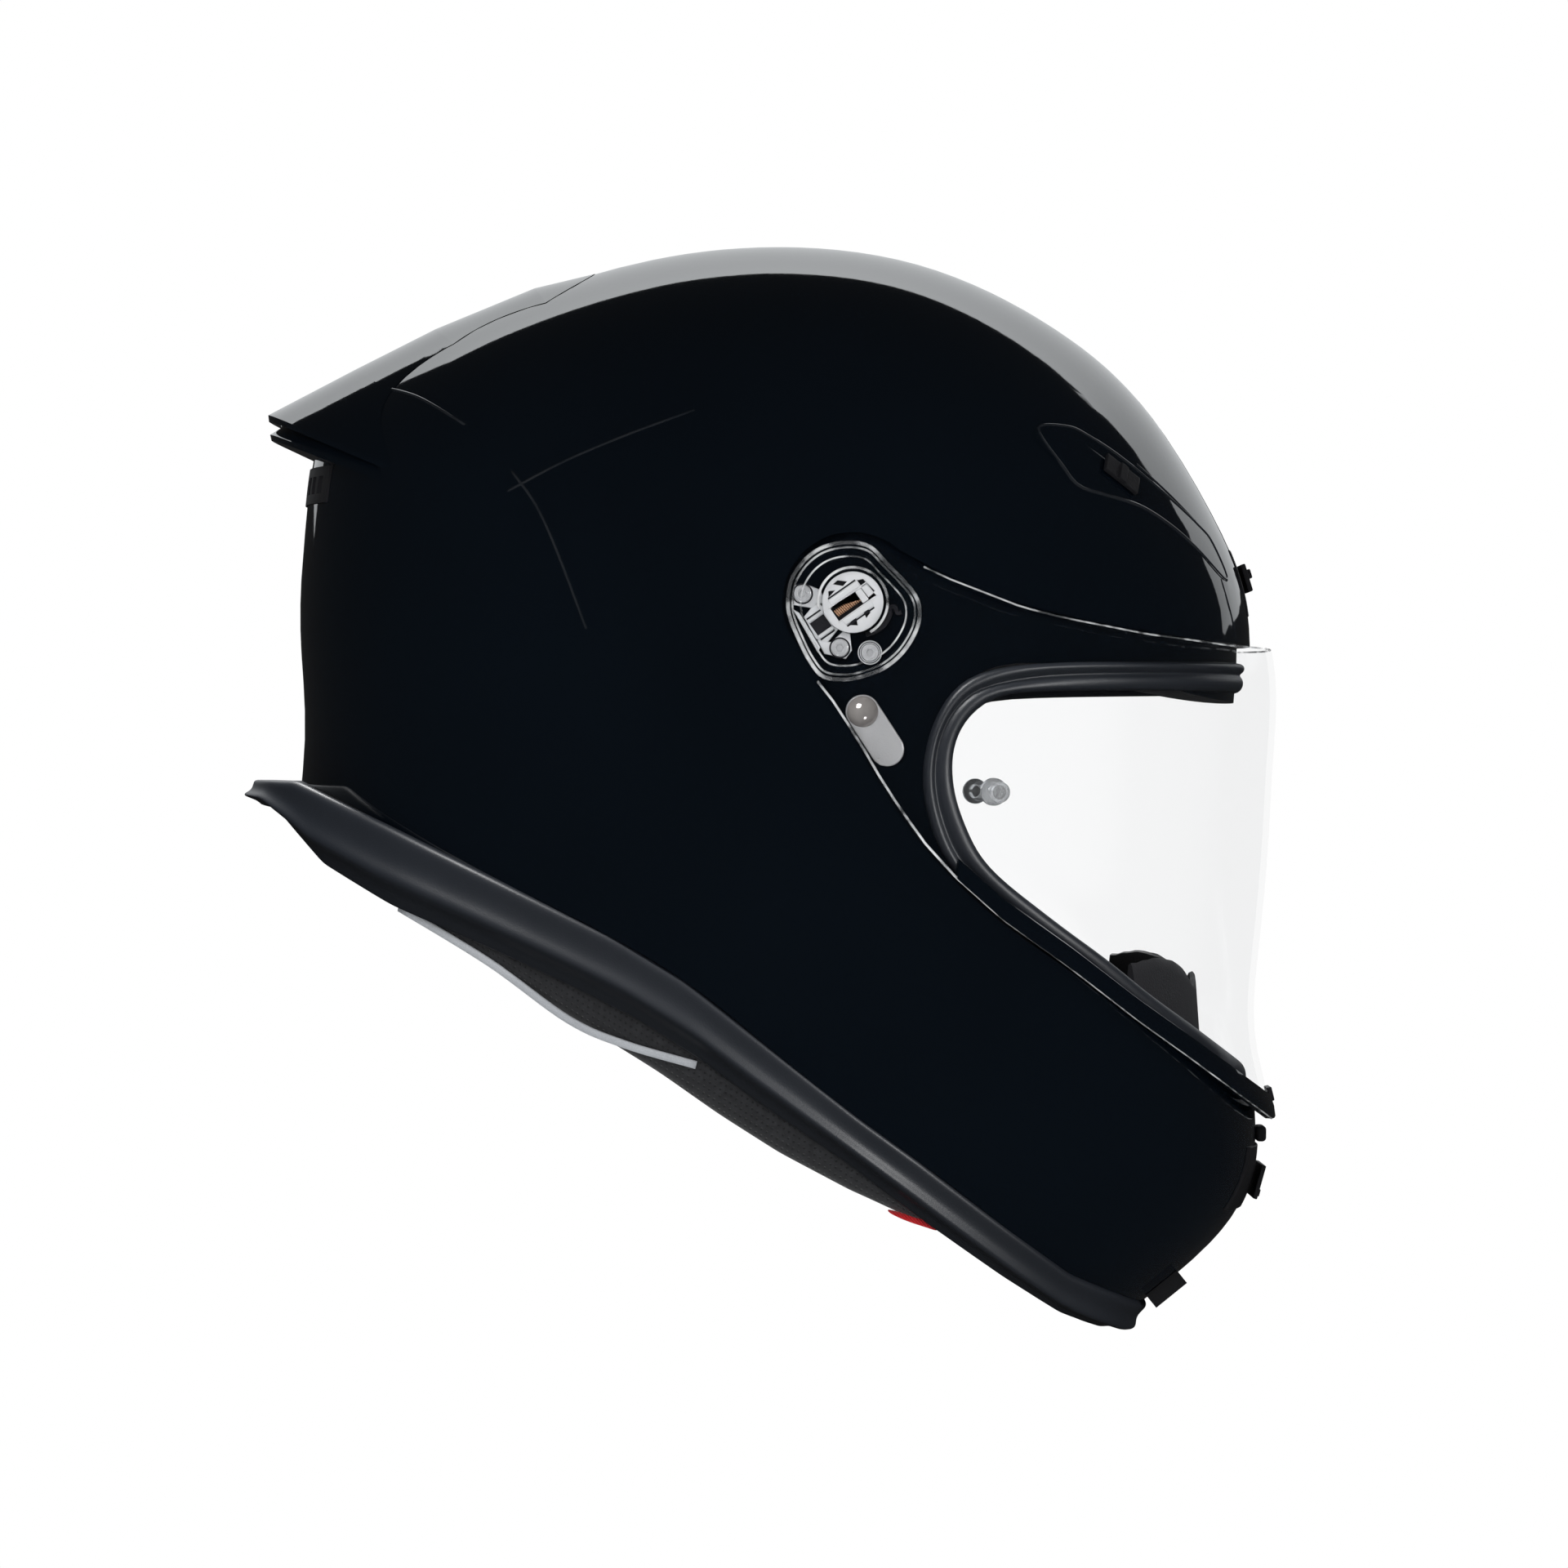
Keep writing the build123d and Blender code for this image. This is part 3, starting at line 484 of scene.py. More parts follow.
def moulded_plastic(name, colour, low=0.42, high=0.62):
    """Textured black plastic as on vents and sliders."""
    finish = Finish(name, IOR=1.5)
    grain = finish.cells(1500.0)
    patch = finish.noise(60.0, 3.0)
    finish.feed("Base Color", finish.mixed(patch, tone(*[c * 0.7 for c in colour]), tone(*colour)))
    finish.feed("Roughness", finish.ranged(patch, low, high))
    finish.relief(grain, 0.2, 0.0003)
    return finish.material


def clear_visor(settings):
    """Clear hard-coated polycarbonate: nearly all light goes through, and the skin shines."""
    finish = Finish("clear_visor", IOR=1.5, Metallic=1.0)
    film = finish.noise(7.0, 2.0)
    finish.feed("Base Color", finish.mixed(film, tone(0.86, 0.88, 0.9), tone(0.95, 0.96, 0.97)))
    wiping = finish.noise(90.0, 5.0, 0.7)
    finish.feed("Roughness", finish.ranged(wiping, 0.01, 0.05))
    glance = finish.add("ShaderNodeFresnel", None, {"IOR": 1.42})
    share = (glance * 0.35).least(0.03) + wiping * 0.003
    finish.clear_through(share, (*settings.visor_tint, 1.0))
    return finish.material


def moulded_edge():
    """The rounded edges and ribs of the clear mouldings, coloured pale grey to white to paint the
    highlights that they catch.
    """
    finish = Finish("moulded_edge", IOR=1.5, Specular_IOR_Level=0.8)
    along = finish.noise(55.0, 3.0, 0.7)
    # The pale grey to white base colour is painted highlight along the clear edges.
    finish.feed("Base Color", finish.mixed(along, tone(0.42, 0.44, 0.46), tone(0.97, 0.97, 0.97)))
    finish.feed("Roughness", finish.ranged(along, 0.04, 0.16))
    # The painted highlight shows in patches; between them the edge is see-through.
    painted_glint_share = ((along - 0.40) * 4.2).greatest(0.05).least(0.95)
    finish.clear_through(painted_glint_share, tone(1, 1, 1))
    return finish.material


def clear_fitting():
    """The small clear posts of the anti-fog film."""
    finish = Finish("clear_fitting", IOR=1.35, Transmission_Weight=0.85, Coat_Weight=0.3)
    swirl = finish.noise(300.0, 3.0)
    finish.feed("Base Color", finish.mixed(swirl, tone(0.74, 0.76, 0.78), tone(0.92, 0.93, 0.94)))
    finish.feed("Roughness", finish.ranged(swirl, 0.04, 0.14))
    return finish.material


def frosted_metal(name, colour, low, high, grain=1100.0):
    """Cast or blasted metal with a fine frosted grain."""
    finish = Finish(name, Metallic=0.3, IOR=1.6)
    cloud = finish.noise(120.0, 4.0)
    finish.feed("Base Color", finish.mixed(cloud, tone(*[c * 0.8 for c in colour]), tone(*colour)))
    finish.feed("Roughness", finish.ranged(cloud, low, high))
    finish.relief(finish.noise(grain, 3.0), 0.25, 0.0002)
    return finish.material


def bright_metal(name, colour, low=0.12, high=0.26):
    """Turned or drawn metal with fine running scratches."""
    finish = Finish(name, Metallic=0.45, IOR=1.7)
    along = {"Vector": finish.place(), "Scale": (900.0, 900.0, 60.0)}
    stretch = finish.add("ShaderNodeMapping", None, along)
    scratch = finish.noise(1.0, 4.0, 0.6, stretch)
    finish.feed("Base Color", finish.mixed(scratch, tone(*[c * 0.82 for c in colour]), tone(*colour)))
    finish.feed("Roughness", finish.ranged(scratch, low, high))
    finish.relief(scratch, 0.08, 0.0001)
    return finish.material


def knitted(name, colour, pitch=0.0011, strength=0.5, rough=0.9):
    """Warp-knit mesh: rows of small loops with dark holes between them."""
    finish = Finish(name, Sheen_Weight=0.25, Sheen_Roughness=0.5, Roughness=rough)
    x, y, z = finish.axes(finish.place())
    rows = ((x + y * 0.7) * (math.tau / pitch)).sine()
    wales = ((z - y * 0.35) * (math.tau / pitch)).sine()
    knit = rows * wales
    fuzz = finish.noise(700.0, 4.0)
    height = knit * 0.7 + fuzz * 0.5
    # The colour follows the knit's height, so the low places between the loops are darker: painted
    # shade, over the fuzz's random tone.
    shade = finish.ranged(knit * 0.5 + 0.5, 0.25, 0.8) + fuzz * 0.25
    finish.feed("Base Color", finish.mixed(shade, tone(*[c * 0.35 for c in colour]), tone(*colour)))
    finish.relief(height, strength, 0.0004)
    return finish.material


def perforated_fabric(settings):
    """The neck roll's smooth fabric, punched with staggered rows of small holes."""
    colour = settings.roll_fabric
    finish = Finish("perforated_fabric", Sheen_Weight=0.2, Sheen_Roughness=0.4)
    tilt = math.radians(32)
    x, _, z = finish.axes(finish.place())
    along = x * math.cos(tilt) - z * math.sin(tilt)
    down = x * math.sin(tilt) + z * math.cos(tilt)
    pitch = settings.perforation
    row = down / pitch
    half = finish.add("ShaderNodeMath", {"operation": "FLOOR"}, {0: row})
    stagger = half.wrapped(0.0, 2.0) * 0.5
    column = along / pitch + stagger
    u = column.wrapped(-0.5, 0.5)
    v = row.wrapped(0.0, 1.0) - 0.5
    reach = (u * u + v * v).power(0.5)
    hole = (0.21 - reach) * 14.0
    hole = hole.least(1.0).greatest(0.0)
    thread = math.tau / 0.0007
    weave = ((along + down) * thread).sine() * ((along - down) * thread).sine()
    fuzz = finish.noise(500.0, 4.0)
    # The holes and the low threads of the weave are darker: painted shade, over the fuzz's random tone.
    shade = (fuzz * 0.7 + weave * 0.15) * (1 - hole * 0.85)
    finish.feed("Base Color", finish.mixed(shade, tone(*[c * 0.3 for c in colour]), tone(*colour)))
    finish.feed("Roughness", finish.ranged(fuzz, 0.62, 0.85))
    finish.relief(weave * 0.12 + fuzz * 0.2 - hole, 0.6, 0.0005)
    return finish.material


def woven(name, colour, pitch=0.0016, sheen=0.3, contrast=0.45):
    """Twill webbing: slanting ribs crossed by fine threads."""
    finish = Finish(name, Sheen_Weight=sheen, Sheen_Roughness=0.4)
    x, y, z = finish.axes(finish.place())
    ribs = ((x + z * 0.9 + y * 0.9) * (math.tau / pitch)).sine()
    threads = ((x - z * 0.5 - y * 0.5) * (math.tau / (pitch * 0.35))).sine()
    fuzz = finish.noise(900.0, 3.0)
    height = ribs * 0.6 + threads * 0.25 + fuzz * 0.2
    # The colour follows the ribs' and threads' height, so the grooves between them are darker: painted
    # shade, over the fuzz's random tone.
    shade = (height * 0.5 + 0.5) * 0.8 + fuzz * 0.2
    low = tone(*[c * contrast for c in colour])
    finish.feed("Base Color", finish.mixed(shade, low, tone(*colour)))
    finish.feed("Roughness", finish.ranged(fuzz, 0.6, 0.85))
    finish.relief(height, 0.5, 0.0003)
    return finish.material


def retroreflective():
    """Silver-grey piping: glass-bead film on cloth."""
    finish = Finish("reflective_piping", Metallic=0.25)
    beads = finish.cells(2600.0)
    cloud = finish.noise(45.0, 3.0)
    shade = beads * 0.4 + cloud * 0.6
    finish.feed("Base Color", finish.mixed(shade, tone(0.34, 0.355, 0.38), tone(0.62, 0.64, 0.67)))
    finish.feed("Roughness", finish.ranged(cloud, 0.38, 0.55))
    finish.relief(beads, 0.3, 0.0002)
    return finish.material


def bead_foam():
    """Moulded bead foam, painted dark grey, with its cell pattern."""
    finish = Finish("bead_foam")
    cell = finish.cells(420.0)
    border = finish.cells(420.0, "DISTANCE_TO_EDGE")
    cloud = finish.noise(30.0, 3.0)
    finish.feed("Base Color", finish.mixed(cell, tone(0.05, 0.051, 0.055), tone(0.03, 0.03, 0.033)))
    finish.feed("Roughness", finish.ranged(cloud, 0.6, 0.8))
    finish.relief(border, 0.5, 0.0006)
    return finish.material


def make_finishes(settings):
    """Every finish, under the name of the record's slot that it dresses."""
    return {
        "shell": lacquer(settings),
        "liner_foam": bead_foam(),
        "comfort_fabric": knitted("lining_mesh", (0.035, 0.035, 0.04)),
        "roll_fabric": perforated_fabric(settings),
        "reflective": retroreflective(),
        "pull_tab": woven("red_tab", tuple(settings.tab_colour), 0.0012, 0.3, 0.6),
        "trim_rubber": satin_rubber("trim_rubber", tuple(settings.trim_colour)),
        "vent_plastic": moulded_plastic("vent_plastic", (0.012, 0.012, 0.014)),
        "vent_gloss": lacquer(settings),
        "visor_clear": clear_visor(settings),
        "visor_fitting": moulded_plastic("visor_fitting", (0.02, 0.02, 0.024), 0.2, 0.35),
        "post_clear": clear_fitting(),
        "moulded_edge": moulded_edge(),
        "pivot_plastic": frosted_metal("frosted_hinge", (0.74, 0.75, 0.77), 0.26, 0.42),
        "pivot_steel": bright_metal("bright_steel", (0.72, 0.73, 0.75)),
        "spring": bright_metal("copper_wire", (0.62, 0.36, 0.22), 0.2, 0.34),
        "stud_metal": frosted_metal("satin_stud", (0.48, 0.48, 0.49), 0.24, 0.36, 1700.0),
        "webbing": woven("black_webbing", (0.03, 0.03, 0.034)),
        "stud_dome": bright_metal("stud_dome", (0.3, 0.28, 0.27), 0.08, 0.16),
        "crease_lacquer": crease_lacquer(settings),
        "ring_steel": bright_metal("ring_steel", (0.78, 0.78, 0.8), 0.08, 0.16),
    }


FINISHES = {}


# ---------------------------------------------------------------- settings
class HELMET_PG_finish(bpy.types.PropertyGroup):
    """Colours and pattern sizes of the helmet's finishes."""

    lacquer: bpy.props.FloatVectorProperty(
        name="Lacquer", description="Colour of the shell's gloss lacquer",
        default=(0.0022, 0.0042, 0.0072), min=0.0, max=1.0, subtype="COLOR",
    )
    trim_colour: bpy.props.FloatVectorProperty(
        name="Rim Trim", description="Colour of the rubber rim trim",
        default=(0.011, 0.013, 0.017), min=0.0, max=1.0, subtype="COLOR",
    )
    roll_fabric: bpy.props.FloatVectorProperty(
        name="Neck Roll", description="Colour of the neck roll's perforated fabric",
        default=(0.035, 0.036, 0.040), min=0.0, max=1.0, subtype="COLOR",
    )
    tab_colour: bpy.props.FloatVectorProperty(
        name="Release Tab", description="Colour of the cheek pads' release tabs",
        default=(0.55, 0.012, 0.016), min=0.0, max=1.0, subtype="COLOR",
    )
    visor_tint: bpy.props.FloatVectorProperty(
        name="Visor Tint", description="Colour that the clear visor gives what is seen through it",
        default=(0.997, 0.998, 0.999), min=0.0, max=1.0, subtype="COLOR",
    )
    perforation: bpy.props.FloatProperty(
        name="Perforation Pitch", description="Distance between the neck roll's punched holes",
        default=0.0019, min=0.0005, max=0.01, subtype="DISTANCE", unit="LENGTH",
    )


class HELMET_PG_shape(bpy.types.PropertyGroup):
    """The camera's distance and view width, and the floor's height, in metres."""

    camera_distance: bpy.props.FloatProperty(
        name="Camera Distance", description="Distance of the camera from the mid-plane",
        default=2.5, min=0.5, max=10.0, subtype="DISTANCE", unit="LENGTH",
    )
    frame_width: bpy.props.FloatProperty(
        name="View Width", description="Width that the camera takes in at the mid-plane",
        default=0.499, min=0.1, max=5.0, subtype="DISTANCE", unit="LENGTH",
    )
    floor_height: bpy.props.FloatProperty(
        name="Floor Height", description="Height of the floor below the head cavity's middle",
        default=-0.75, min=-3.0, max=-0.23, subtype="DISTANCE", unit="LENGTH",
    )


def finish_of(slot):
    """The material made for a slot."""
    return FINISHES[slot]


# ---------------------------------------------------------------- stage
SENSOR_WIDTH = 36.0
VIEW_CENTRE = (0.0026, -0.052)
FLOOR_SIDE = 7.0
FLOOR_GLOW = (0.45, 0.45)
SOFTBOX_SIZE = (5.4, 3.1)
SOFTBOX_AT = (0.75, 3.1, 1.83)
SOFTBOX_GLOW = (0.6, 1.6)
ROOM_LAMPS = (
    ("front_fill", (-0.9, -2.6, 0.9), 2.0, 60.0),
    ("low_fill", (1.2, -2.4, -0.5), 1.2, 14.0),
    ("inner_fill", (2.6, -0.3, 0.4), 1.4, 18.0),
)


class HELMET_OT_stage(bpy.types.Operator):
    """Set the camera, the pale floor and the soft studio light"""

    bl_idname = "helmet.stage"
    bl_label = "Stage and Light"

    def execute(self, context):
        shape = context.scene.helmet_shape
        camera_data = bpy.data.cameras.new("camera")
        camera_data.sensor_width = SENSOR_WIDTH
        camera_data.lens = SENSOR_WIDTH * shape.camera_distance / shape.frame_width
        camera = bpy.data.objects.new("camera", camera_data)
        camera.location = (VIEW_CENTRE[0], -shape.camera_distance, VIEW_CENTRE[1])
        camera.rotation_euler = (math.radians(90), 0, 0)
        context.scene.collection.objects.link(camera)
        context.scene.camera = camera
        context.scene.view_settings.view_transform = "Standard"

        below = (0, 0, shape.floor_height)
        floor = glowing_panel("floor", (FLOOR_SIDE, FLOOR_SIDE), below, 0.0, FLOOR_GLOW, 0.94)
        floor.visible_glossy = False
        rear = glowing_panel("rear_softbox", SOFTBOX_SIZE, SOFTBOX_AT, 90.0, SOFTBOX_GLOW, 0.04)
        rear.visible_camera = False
        for lamp in ROOM_LAMPS:
            soft_light(*lamp)
        make_world(context.scene)
        return {"FINISHED"}


def glowing_panel(name, size, centre, tilt, glow, pale):
    """A flat panel turned up by a tilt. Its glow runs from its lower to its upper edge."""
    width, height = size
    bm = bmesh.new()
    bmesh.ops.create_grid(bm, x_segments=1, y_segments=1, size=0.5)
    bmesh.ops.scale(bm, vec=(width, height, 1), verts=bm.verts)
    stand = Matrix.Rotation(math.radians(tilt), 3, "X")
    bmesh.ops.rotate(bm, cent=(0, 0, 0), matrix=stand, verts=bm.verts)
    bmesh.ops.translate(bm, vec=centre, verts=bm.verts)
    mesh = bpy.data.meshes.new(name)
    bm.to_mesh(mesh)
    bm.free()
    panel = bpy.data.objects.new(name, mesh)
    bpy.context.scene.collection.objects.link(panel)
    finish = Finish(name, Roughness=0.8)
    cloud = finish.noise(3.0, 2.0)
    finish.feed("Base Color", finish.mixed(cloud, tone(*[pale * 0.96] * 3), tone(*[pale] * 3)))
    up = finish.axes(finish.place())[2]
    share = ((up - (centre[2] - height / 2)) / height).greatest(0.0).least(1.0)
    cool = (0.95, 0.98, 1.0)
    low, high = (tone(*[channel * value / max(glow) for channel in cool]) for value in glow)
    finish.feed("Emission Color", finish.mixed(share * share, low, high))
    finish.shader.inputs["Emission Strength"].default_value = max(glow)
    mesh.materials.append(finish.material)
    return panel


def soft_light(name, place, size, power):
    """A square soft light aimed at the helmet, kept out of reflections unless it is let in."""
    data = bpy.data.lights.new(name, "AREA")
    data.size = size
    data.energy = power
    light = bpy.data.objects.new(name, data)
    light.location = place
    aim = Vector((0, 0, -0.05)) - Vector(place)
    light.rotation_euler = aim.to_track_quat("-Z", "Y").to_euler()
    light.visible_glossy = False
    light.visible_camera = False
    bpy.context.scene.collection.objects.link(light)
    return light


def make_world(scene):
    """White where it is seen directly, and dim where it only lights."""
    world = bpy.data.worlds.new("studio")
    scene.world = world
    world.use_nodes = True
    tree = world.node_tree
    seen = tree.nodes.new("ShaderNodeLightPath")
    strength = tree.nodes.new("ShaderNodeMath")
    strength.operation = "MULTIPLY_ADD"
    strength.inputs[1].default_value = 0.985
    strength.inputs[2].default_value = 0.015
    tree.links.new(seen.outputs["Is Camera Ray"], strength.inputs[0])
    background = tree.nodes["Background"]
    background.inputs[0].default_value = tone(1, 1, 1)
    tree.links.new(strength.outputs[0], background.inputs[1])


# ---------------------------------------------------------------- carried pieces
class HELMET_OT_carried(bpy.types.Operator):
    """Dress the CAD pieces whose shape is already right in their finishes"""

    bl_idname = "helmet.carried"
    bl_label = "Shell, Visor and Fittings"

    def execute(self, context):
        for part in frame["record"]["subparts"]:
            mesh = NODES[part["node"]].data
            mesh.materials.clear()
            mesh.materials.append(finish_of(part["material_slot"]))
        return {"FINISHED"}


def smooth_edges(piece, levels=1):
    """One live subdivision, alike in view and render."""
    subdivision = piece.modifiers.new("subdivision", "SUBSURF")
    subdivision.levels = levels
    subdivision.render_levels = levels


def applied(piece):
    """Bake a piece's modifiers into its mesh."""
    bpy.context.view_layer.update()
    graph = bpy.context.evaluated_depsgraph_get()
    mesh = bpy.data.meshes.new_from_object(piece.evaluated_get(graph), depsgraph=graph)
    piece.modifiers.clear()
    piece.data = mesh
    return piece


def node_copy(node):
    """A merged copy of a CAD node's mesh, in millimetres."""
    bm = bmesh.new()
    bm.from_mesh(NODES[node].data)
    bmesh.ops.remove_doubles(bm, verts=bm.verts, dist=0.00001)
    bmesh.ops.scale(bm, vec=(1000, 1000, 1000), verts=bm.verts)
    return bm


def softened(node, width, slot, segments=3):
    """A small moulding with its edges rounded, in place of its CAD node."""
    bm = node_copy(node)
    flat = math.radians(1.0)
    bmesh.ops.dissolve_limit(bm, angle_limit=flat, verts=bm.verts, edges=bm.edges)
    piece = finish_mesh(f"{node}_moulding", bm, finish_of(slot))
    bevel = piece.modifiers.new("bevel", "BEVEL")
    bevel.width = width * MM
    bevel.segments = segments
    bevel.limit_method = "ANGLE"
    bevel.angle_limit = math.radians(32)
    bevel.harden_normals = False
    crisp(piece, 60.0)
    return place(piece, NODES[node]["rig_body"], slot, node)


# ---------------------------------------------------------------- swept and flat shapes
def swept(points, ups, section, closed=False):
    """A section, as (across, up) offsets, carried along a path."""
    rows = []
    count = len(points)
    for i, point in enumerate(points):
        if closed:
            ahead = points[(i + 1) % (count - 1)] - points[(i - 1) % (count - 1)]
        else:
            ahead = points[min(i + 1, count - 1)] - points[max(i - 1, 0)]
        across = ups[i].cross(ahead).normalized()
        up = ahead.cross(across).normalized()
        rows.append([point + across * a + up * b for a, b in section])
    return lofted(rows, closed_rows=closed)


def round_section(radius, sides=8, flat=1.0):
    """A circle's points, the first repeated at the end."""
    turns = [math.tau * i / sides for i in range(sides + 1)]
    return [(radius * math.cos(t), radius * flat * math.sin(t)) for t in turns]


def arc(centre, radius, start=0.0, end=360.0, count=48):
    """Points on a circle in a side view, from one angle to another in degrees."""
    turns = [math.radians(start + (end - start) * i / count) for i in range(count + 1)]
    return [(centre[0] + radius * math.cos(t), centre[1] + radius * math.sin(t)) for t in turns]


def slab(outline, low, high, rounding=0.0, holes=()):
    """A flat plate from a closed outline, with through holes and a rounded outer face."""
    bm = bmesh.new()
    rims = []
    for loop in (outline, *holes):
        verts = [bm.verts.new((u, v, low)) for u, v in loop]
        rims += [bm.edges.new((verts[i - 1], verts[i])) for i in range(len(verts))]
    if holes:
        bmesh.ops.triangle_fill(bm, use_beauty=True, edges=rims)
    else:
        bmesh.ops.contextual_create(bm, geom=rims)
    grown = bmesh.ops.extrude_face_region(bm, geom=bm.faces[:])["geom"]
    lifted = [item for item in grown if isinstance(item, bmesh.types.BMVert)]
    bmesh.ops.translate(bm, vec=(0, 0, high - low), verts=lifted)
    if rounding:
        level = high - 0.001
        top = [e for e in bm.edges if all(v.co.z > level for v in e.verts)]
        bm.normal_update()
        corner = [e for e in top if e.is_manifold and e.calc_face_angle(0.0) > 0.8]
        bmesh.ops.bevel(
            bm, geom=corner, offset=rounding, segments=2, profile=0.5, affect="EDGES", material=-1
        )
    return bm


def onto_side(bm, side):
    """Stand a flat shape up on one side: its height becomes the distance from the mid-plane."""
    stand = Matrix(((1, 0, 0, 0), (0, 0, side, 0), (0, 1, 0, 0), (0, 0, 0, 1)))
    bmesh.ops.transform(bm, matrix=stand, verts=bm.verts)
    return bm


def gathered(shapes):
    """Several meshes put together as one."""
    whole = bmesh.new()
    for bm in shapes:
        mesh = bpy.data.meshes.new("shape")
        bm.to_mesh(mesh)
        bm.free()
        whole.from_mesh(mesh)
        bpy.data.meshes.remove(mesh)
    return whole


def skin_bead(egg, path, side, radius, lift=0.0, closed=False, steps=5, flat=1.0):
    """A bead lying on a skin along a side view's path."""
    flat_path = curve_through(path, steps, closed)
    if closed:
        flat_path.append(flat_path[0])
    points = [egg.side(p.x, p.y, side) for p in flat_path]
    ups = [egg.outward(p) for p in points]
    points = [p + up * lift for p, up in zip(points, ups)]
    return swept(points, ups, round_section(radius, 8, flat), closed)


# ---------------------------------------------------------------- rim trim
TRIM_PROFILE = [
    (0.0, -4.0), (0.0, -1.2), (0.04, -0.1), (0.09, 0.45), (0.2, 0.6), (0.34, 0.9),
    (0.43, 1.6), (0.5, 2.7), (0.55, 3.3), (0.6, 3.35), (0.65, 2.8), (0.72, 1.3),
    (0.8, -0.3), (0.9, -1.3), (0.98, -1.9), (1.0, -2.6), (1.0, -4.0), (0.5, -4.0),
]


def skirt(egg, top, low, profile, turns):
    """Rows of points for a band round the rim: each profile point is a share of the way
    down from the top edge and a distance out from the skin, in millimetres."""
    rows = []
    for turn in turns:
        upper = rim_point(egg, top, turn)
        lower = rim_point(egg, low, turn)
        row = []
        for share, out in profile:
            between = upper.lerp(lower, share)
            centre = Vector((-10.0, 0, between.z))
            skin = egg.reach_along(centre, (between - centre).normalized())
            row.append(skin + egg.outward(skin) * out)
        rows.append(row)
    return rows


def turns_round(count, start=0.0, end=math.tau):
    """Evenly spaced directions about the upright axis, both ends included."""
    return [start + (end - start) * i / count for i in range(count + 1)]


class HELMET_OT_trim(bpy.types.Operator):
    """Mould the rubber trim that caps the shell's lower rim"""

    bl_idname = "helmet.trim"
    bl_label = "Rim Trim"

    def execute(self, context):
        profile = TRIM_PROFILE + [TRIM_PROFILE[0]]
        rows = skirt(TRIM, TRIM_TOP, TRIM_LOW, profile, turns_round(240))
        trim = finish_mesh("rim_trim", lofted(rows, closed_rows=True), finish_of("trim_rubber"))
        smooth_edges(trim)
        place(trim, "helmet", "trim_rubber", "base_trim")
        return {"FINISHED"}


# ---------------------------------------------------------------- eye port gasket
GASKET_PROFILE = [
    (0.0, -8.8), (0.0, -3.4), (0.05, -2.2), (0.12, -1.6), (0.22, -1.55), (0.3, -2.1),
    (0.36, -2.9), (0.42, -2.9), (0.5, -2.1), (0.6, -1.7), (0.74, -1.75), (0.86, -2.3),
    (0.95, -3.3), (1.0, -4.6), (1.0, -8.8),
]


class HELMET_OT_gasket(bpy.types.Operator):
    """Mould the rubber seal round the eye port, with its two soft lips"""

    bl_idname = "helmet.gasket"
    bl_label = "Eye Port Seal"

    def execute(self, context):
        outer = [tuple(p) for p in curve_through(PORT_OUTER, 6)]
        inner = [tuple(p) for p in curve_through(PORT_INNER, 6)]
        rows = []
        for turn in turns_round(200):
            edge_out = port_point(SHELL, outer, turn)
            edge_in = port_point(SHELL, inner, turn)
            row = []
            for share, out in GASKET_PROFILE + [GASKET_PROFILE[0]]:
                skin = edge_out.lerp(edge_in, share)
                row.append(skin + SHELL.outward(skin) * out)
            rows.append(row)
        seal = finish_mesh("eye_port_seal", lofted(rows, closed_rows=True), finish_of("trim_rubber"))
        smooth_edges(seal)
        place(seal, "helmet", "trim_rubber", "eyeport_gasket")
        return {"FINISHED"}


# ---------------------------------------------------------------- neck roll
ROLL_PROFILE = [
    (0.0, -12.0), (0.0, -8.0), (0.06, -5.4), (0.2, -4.2), (0.4, -4.0), (0.6, -4.6),
    (0.78, -5.8), (0.92, -8.2), (1.0, -12.0), (1.0, -17.0), (0.8, -23.0), (0.4, -26.0),
    (0.0, -24.0),
]


class HELMET_OT_neck_roll(bpy.types.Operator):
    """Pad the soft roll round the nape, and sew on its grey reflective piping"""

    bl_idname = "helmet.neck_roll"
    bl_label = "Neck Roll"

    def execute(self, context):
        front = math.radians(56)
        turns = turns_round(150, front, math.tau - front)
        rows = skirt(SHELL, ROLL_TOP, ROLL_LOW, ROLL_PROFILE + [ROLL_PROFILE[0]], turns)
        roll = finish_mesh("neck_roll_pad", lofted(rows), finish_of("roll_fabric"))
        smooth_edges(roll)
        place(roll, "helmet", "roll_fabric", "neck_roll")
        for word, side in SIDES:
            path = [(x, z - 1.1) for x, z in PIPING]
            strip = skin_strip(SHELL, path, side, 1.35, -3.75, 0.45)
            piece = finish_mesh(f"piping_strip_{word}", strip, finish_of("reflective"))
            place(piece, "helmet", "reflective", f"reflective_piping_{word}")
        return {"FINISHED"}


STRIP_SECTION = [
    (1, 0), (0.86, 1), (0, 1.3), (-0.86, 1), (-1, 0), (-0.86, -1), (0.86, -1), (1, 0),
]


def skin_strip(egg, path, side, half_breadth, lift, half_depth, steps=8):
    """A flat strip lying along a skin."""
    points = [egg.side(p.x, p.y, side) for p in curve_through(path, steps)]
    ups = [egg.outward(p) for p in points]
    points = [p + up * lift for p, up in zip(points, ups)]
    section = [(half_breadth * across, half_depth * up) for across, up in STRIP_SECTION]
    return swept(points, ups, section)


# ---------------------------------------------------------------- release tabs
TAB_PATH = [(34.6, -185.6), (38.5, -187.2), (42.6, -188.4), (46.4, -189.2), (50.6, -191.4)]
TAB_BREADTH = (0.5, 1.3, 1.9, 2.5, 1.7)
TAB_DOWN = Vector((0.5, 0, -0.86))
TAB_SECTION = [
    (1, 0), (0.8, 0.7), (0, 0.95), (-0.8, 0.7), (-1, 0), (-0.8, -0.7), (0, -0.9), (0.8, -0.7), (1, 0),
]


